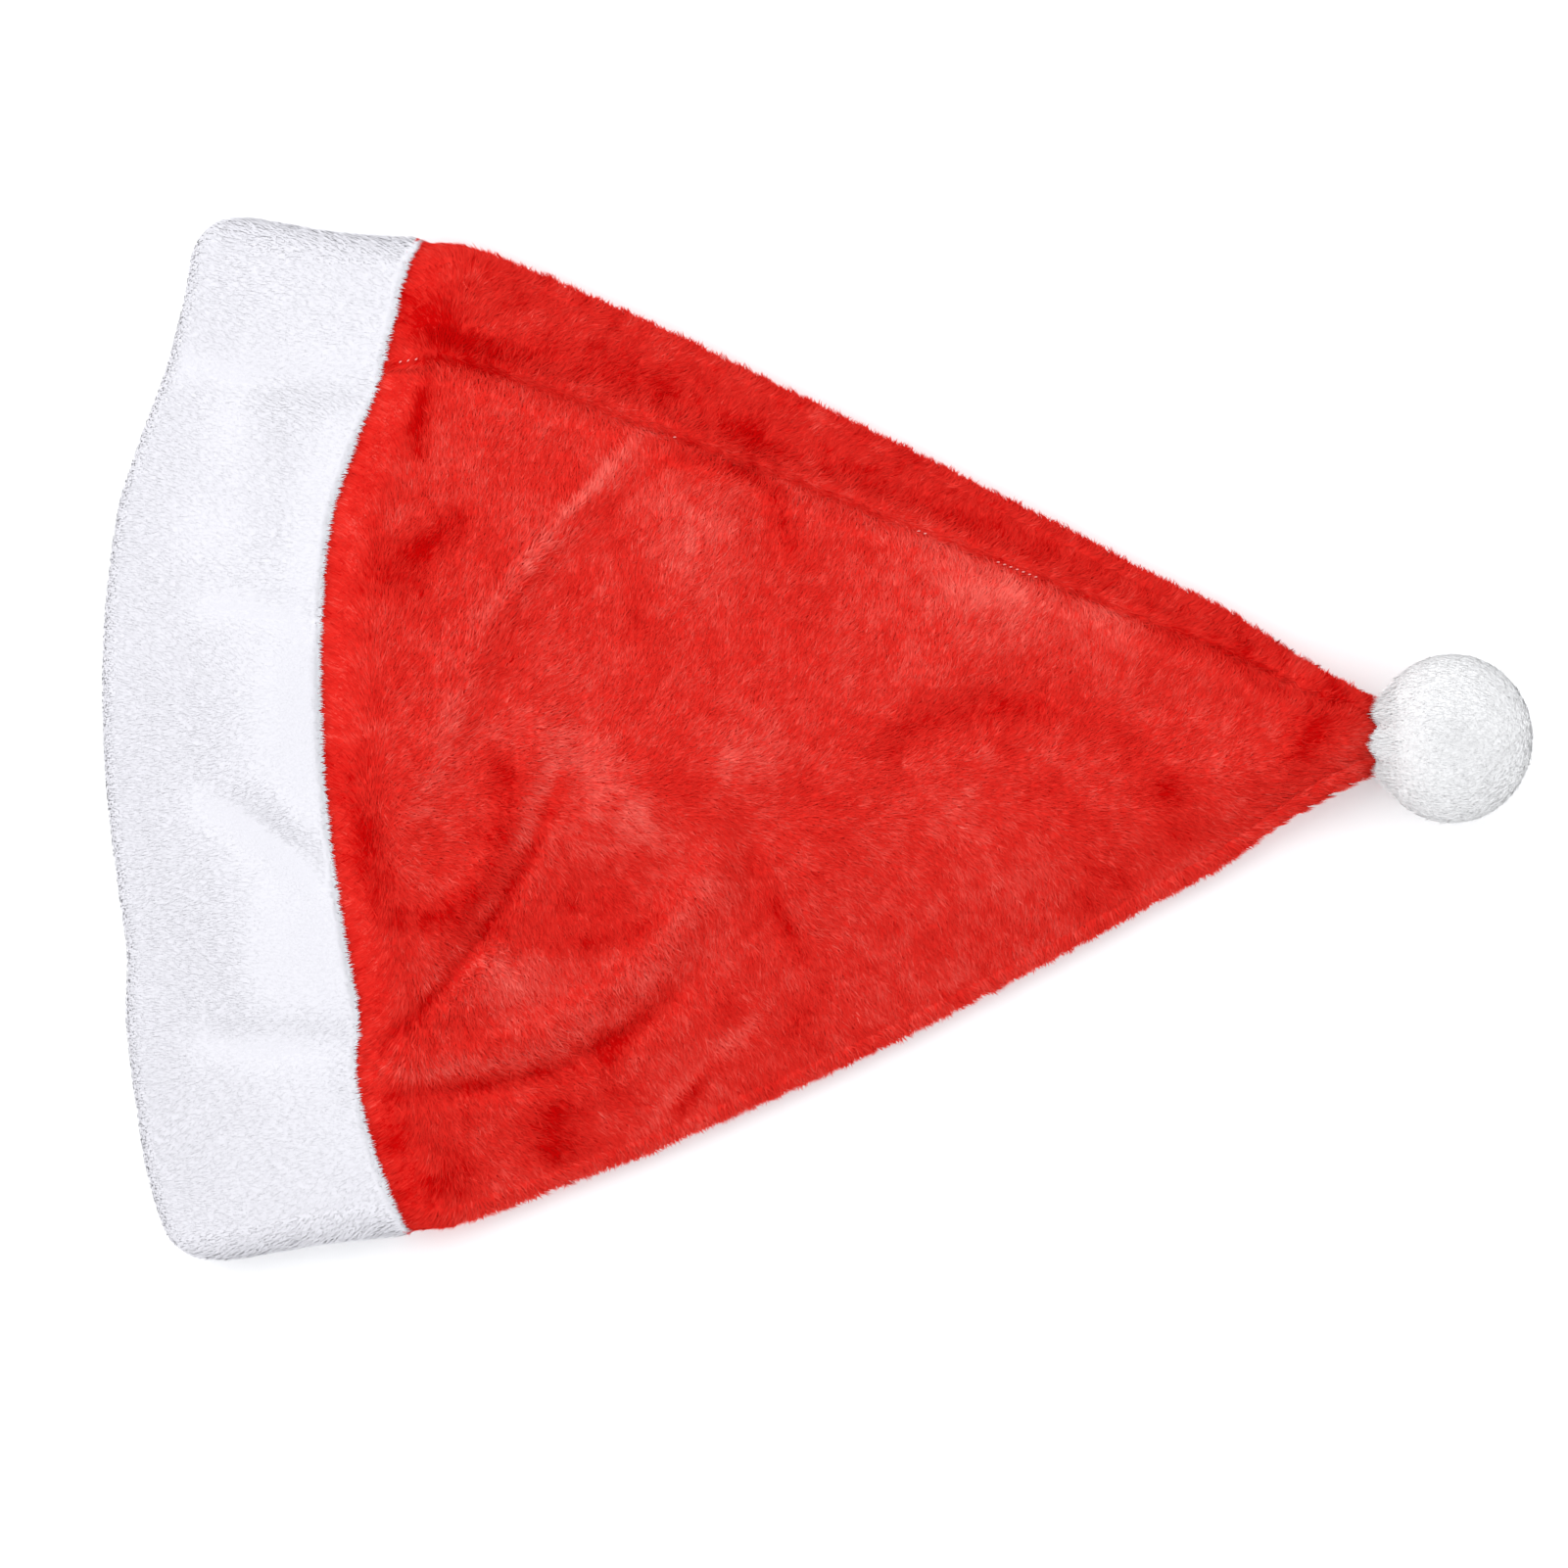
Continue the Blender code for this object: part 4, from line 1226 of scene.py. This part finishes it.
class HAT_OT_pompom(bpy.types.Operator):
    """Make the pompom: a heart and a dense coat of fibres, with points over the neck."""

    bl_idname = "hat.pompom"
    bl_label = "Pompom"

    def execute(self, context):
        self.heart()
        self.coat(context.scene.hat_sizes, context.scene.hat_colours)
        return {"FINISHED"}

    def heart(self):
        """An oval ball: centre + radius * (cos lean cos turn, cos lean sin turn, sin lean)."""
        centre = np.array(POM_CENTRE)
        radius = np.array(POM_RADIUS) - POM_DEPTH
        turn = np.linspace(0, 2 * math.pi, POM_COLUMNS + 1)[:-1]
        lean = np.radians(np.linspace(-POM_LAST_ROW, POM_LAST_ROW, POM_ROWS))[:, None]
        ball = np.stack(
            [np.cos(lean) * np.cos(turn), np.cos(lean) * np.sin(turn), np.sin(lean) + 0 * turn], -1
        )
        poles = centre + np.array([[0, 0, -radius[2]], [0, 0, radius[2]]])
        points = np.concatenate([(centre + ball * radius).reshape(-1, 3), poles])
        this = np.arange(POM_COLUMNS)
        following = (this + 1) % POM_COLUMNS
        pole = POM_ROWS * POM_COLUMNS
        last = pole - POM_COLUMNS
        base = np.stack([0 * this + pole, following, this], axis=-1)
        top = np.stack([0 * this + pole + 1, last + this, last + following], axis=-1)
        cloth = cloth_finish("pompom_heart", (0.80, 0.80, 0.803), (0.78, 0.78, 0.783), 900.0)
        quads = grid_quads(POM_ROWS, POM_COLUMNS)
        piece = make_piece(
            "pompom_core", points, [quads, base, top], [cloth], "pompom"
        )
        recalculate(piece)

    def coat(self, sizes, colours):
        """Fibres spread evenly over the ball and combed towards the neck, where the upper ones
        reach over the crown's tip between its tufts. They are lightest low down and at the neck:
        painted light against the shade on the ball's sides."""
        material = white_pile_material("pompom_fibre", colours.pompom, 1.25)
        radius = np.array(POM_RADIUS)
        random = np.random.default_rng(41)
        count = int(sizes.pompom_count * (1.0))
        along = 1 - 1.97 * (np.arange(count) + random.random(count)) / count
        about = 2 * math.pi * golden(random, count, 0.002)
        wide = np.sqrt(1 - along * along)
        facing = np.stack([along, wide * np.cos(about), wide * np.sin(about)], axis=-1)
        root = np.array(POM_CENTRE) + facing * (radius - POM_DEPTH)
        outward = unit(facing / radius)
        combed = np.array([-1.0, 0, 0]) + random.normal(0, 0.35, (count, 3))
        combed = unit(combed - outward * np.sum(combed * outward, axis=-1, keepdims=True))
        to_neck = ease((-facing[:, 0] - 0.62) / 0.25)
        lay = combed * (POM_LENGTH * random.uniform(0.7, 1.0, (count, 1)))
        lay = lay * (1 - 0.7 * to_neck)[:, None] - outward * (0.12 * MM)
        above = ease((root[:, 2] - POM_OVER_FROM) / (4 * MM))
        over = (1 - 0.9 * tongue(root[:, 1])) * to_neck * above
        lay[:, 0] -= POM_OVER_NECK * over * random.uniform(0.5, 1.1, count)
        tall = POM_DEPTH * random.uniform(0.4, 0.9, count) * (1 + 0.5 * to_neck)
        low = 1 - np.clip(outward[:, 2], 0, 1)
        # Painted light: lighter low down and at the neck, against the shade on the ball's sides
        tone = 0.2 + 0.8 * np.maximum(low ** 0.25, to_neck) + random.normal(0, 0.05, count)
        width = POM_WIDTH * random.uniform(0.8, 1.2, count)
        stray = random.random(count) < POM_STRAY_SHARE
        width = np.where(stray, POM_STRAY_WIDTH, width)
        tall = tall + np.where(stray, POM_STRAY_HIGH * random.random(count), 0)
        make_pile(
            "pompom_pile", root, outward, lay, outward * tall[:, None], width, tone, random,
            material, "pompom",
        )


class HAT_OT_declare_cloth(bpy.types.Operator):
    """Does nothing: no cut sizes of the cloth or of the pompom's stuffing are stated."""

    bl_idname = "hat.declare_cloth"
    bl_label = "Cut sizes"

    def execute(self, context):
        del context
        return {"FINISHED"}


class HAT_OT_stage(bpy.types.Operator):
    """Set out the floor, the soft lights and the camera straight above the hat."""

    bl_idname = "hat.stage"
    bl_label = "Stage"

    def execute(self, context):
        scene = context.scene
        scene.view_settings.view_transform = "Standard"
        self.floor(scene)
        world = bpy.data.worlds.new("studio")
        scene.world = world
        world.use_nodes = True
        background = world.node_tree.nodes["Background"]
        background.inputs["Color"].default_value = (0.97, 0.98, 1.0, 1)
        background.inputs["Strength"].default_value = 1.12
        for name, place, size, power in LAMPS:
            self.light(scene, name, place, size, power)
        self.camera(scene)
        return {"FINISHED"}

    def floor(self, scene):
        """A plain pale square that the hat lies on."""
        mesh = bpy.data.meshes.new("floor")
        signs = ((-1, -1), (1, -1), (1, 1), (-1, 1))
        corners = [(x * FLOOR_HALF, y * FLOOR_HALF, 0) for x, y in signs]
        mesh.from_pydata(corners, [], [(0, 1, 2, 3)])
        floor = bpy.data.objects.new("floor", mesh)
        scene.collection.objects.link(floor)
        finish = Finish("floor_paint", 0.9)
        finish.shader.inputs["Base Color"].default_value = (0.96, 0.96, 0.96, 1)
        mesh.materials.append(finish.material)

    def light(self, scene, name, place, size, power):
        """A soft round lamp that shines on the hat."""
        lamp = bpy.data.lights.new(name, "AREA")
        lamp.shape = "DISK"
        lamp.size = size
        lamp.energy = power
        thing = bpy.data.objects.new(name, lamp)
        thing.location = place
        thing.rotation_euler = aim_at_hat(place)
        scene.collection.objects.link(thing)

    def camera(self, scene):
        """The camera straight above, so far up that the picture's width fills its sensor."""
        camera = bpy.data.cameras.new("camera")
        camera.lens = LENS
        camera.sensor_width = SENSOR
        away = PHOTO_PIXELS / PIXELS_PER_MM * MM * LENS / SENSOR
        x, y, z = VIEW_MIDDLE
        view = bpy.data.objects.new("camera", camera)
        view.location = (x, y, away + z)
        view.rotation_euler = (0, 0, 0)
        scene.collection.objects.link(view)
        scene.camera = view


def aim_at_hat(place):
    """Turn of a lamp at a place so that it shines on the hat."""
    x, y, z = place
    flat = math.hypot(x, y)
    return (math.atan2(flat, z), 0.0, math.atan2(y, x) + math.pi / 2)


class HAT_PT_panel(bpy.types.Panel):
    """Lists the hat's operators, colours and sizes."""

    bl_label = "Santa Hat"
    bl_idname = "HAT_PT_panel"
    bl_space_type = "VIEW_3D"
    bl_region_type = "UI"
    bl_category = "Santa Hat"

    def draw(self, context):
        for operator in OPERATORS:
            self.layout.operator(operator.bl_idname)
        for group in (context.scene.hat_colours, context.scene.hat_sizes):
            for name in group.__annotations__:
                self.layout.prop(group, name)


OPERATORS = (
    HAT_OT_stage,
    HAT_OT_crown_cloth,
    HAT_OT_crown_nap,
    HAT_OT_seam,
    HAT_OT_cuff_cloth,
    HAT_OT_cuff_pile,
    HAT_OT_pompom,
    HAT_OT_declare_cloth,
)


def register():
    for group in (HatColours, HatSizes, *OPERATORS, HAT_PT_panel):
        bpy.utils.register_class(group)
    bpy.types.Scene.hat_colours = bpy.props.PointerProperty(type=HatColours)
    bpy.types.Scene.hat_sizes = bpy.props.PointerProperty(type=HatSizes)


def unregister():
    del bpy.types.Scene.hat_sizes
    del bpy.types.Scene.hat_colours
    for group in (HAT_PT_panel, *reversed(OPERATORS), HatSizes, HatColours):
        bpy.utils.unregister_class(group)


def main():
    register()
    for operator in OPERATORS:
        family, title = operator.bl_idname.split(".")
        getattr(getattr(bpy.ops, family), title)()


if __name__ == "__main__":
    main()
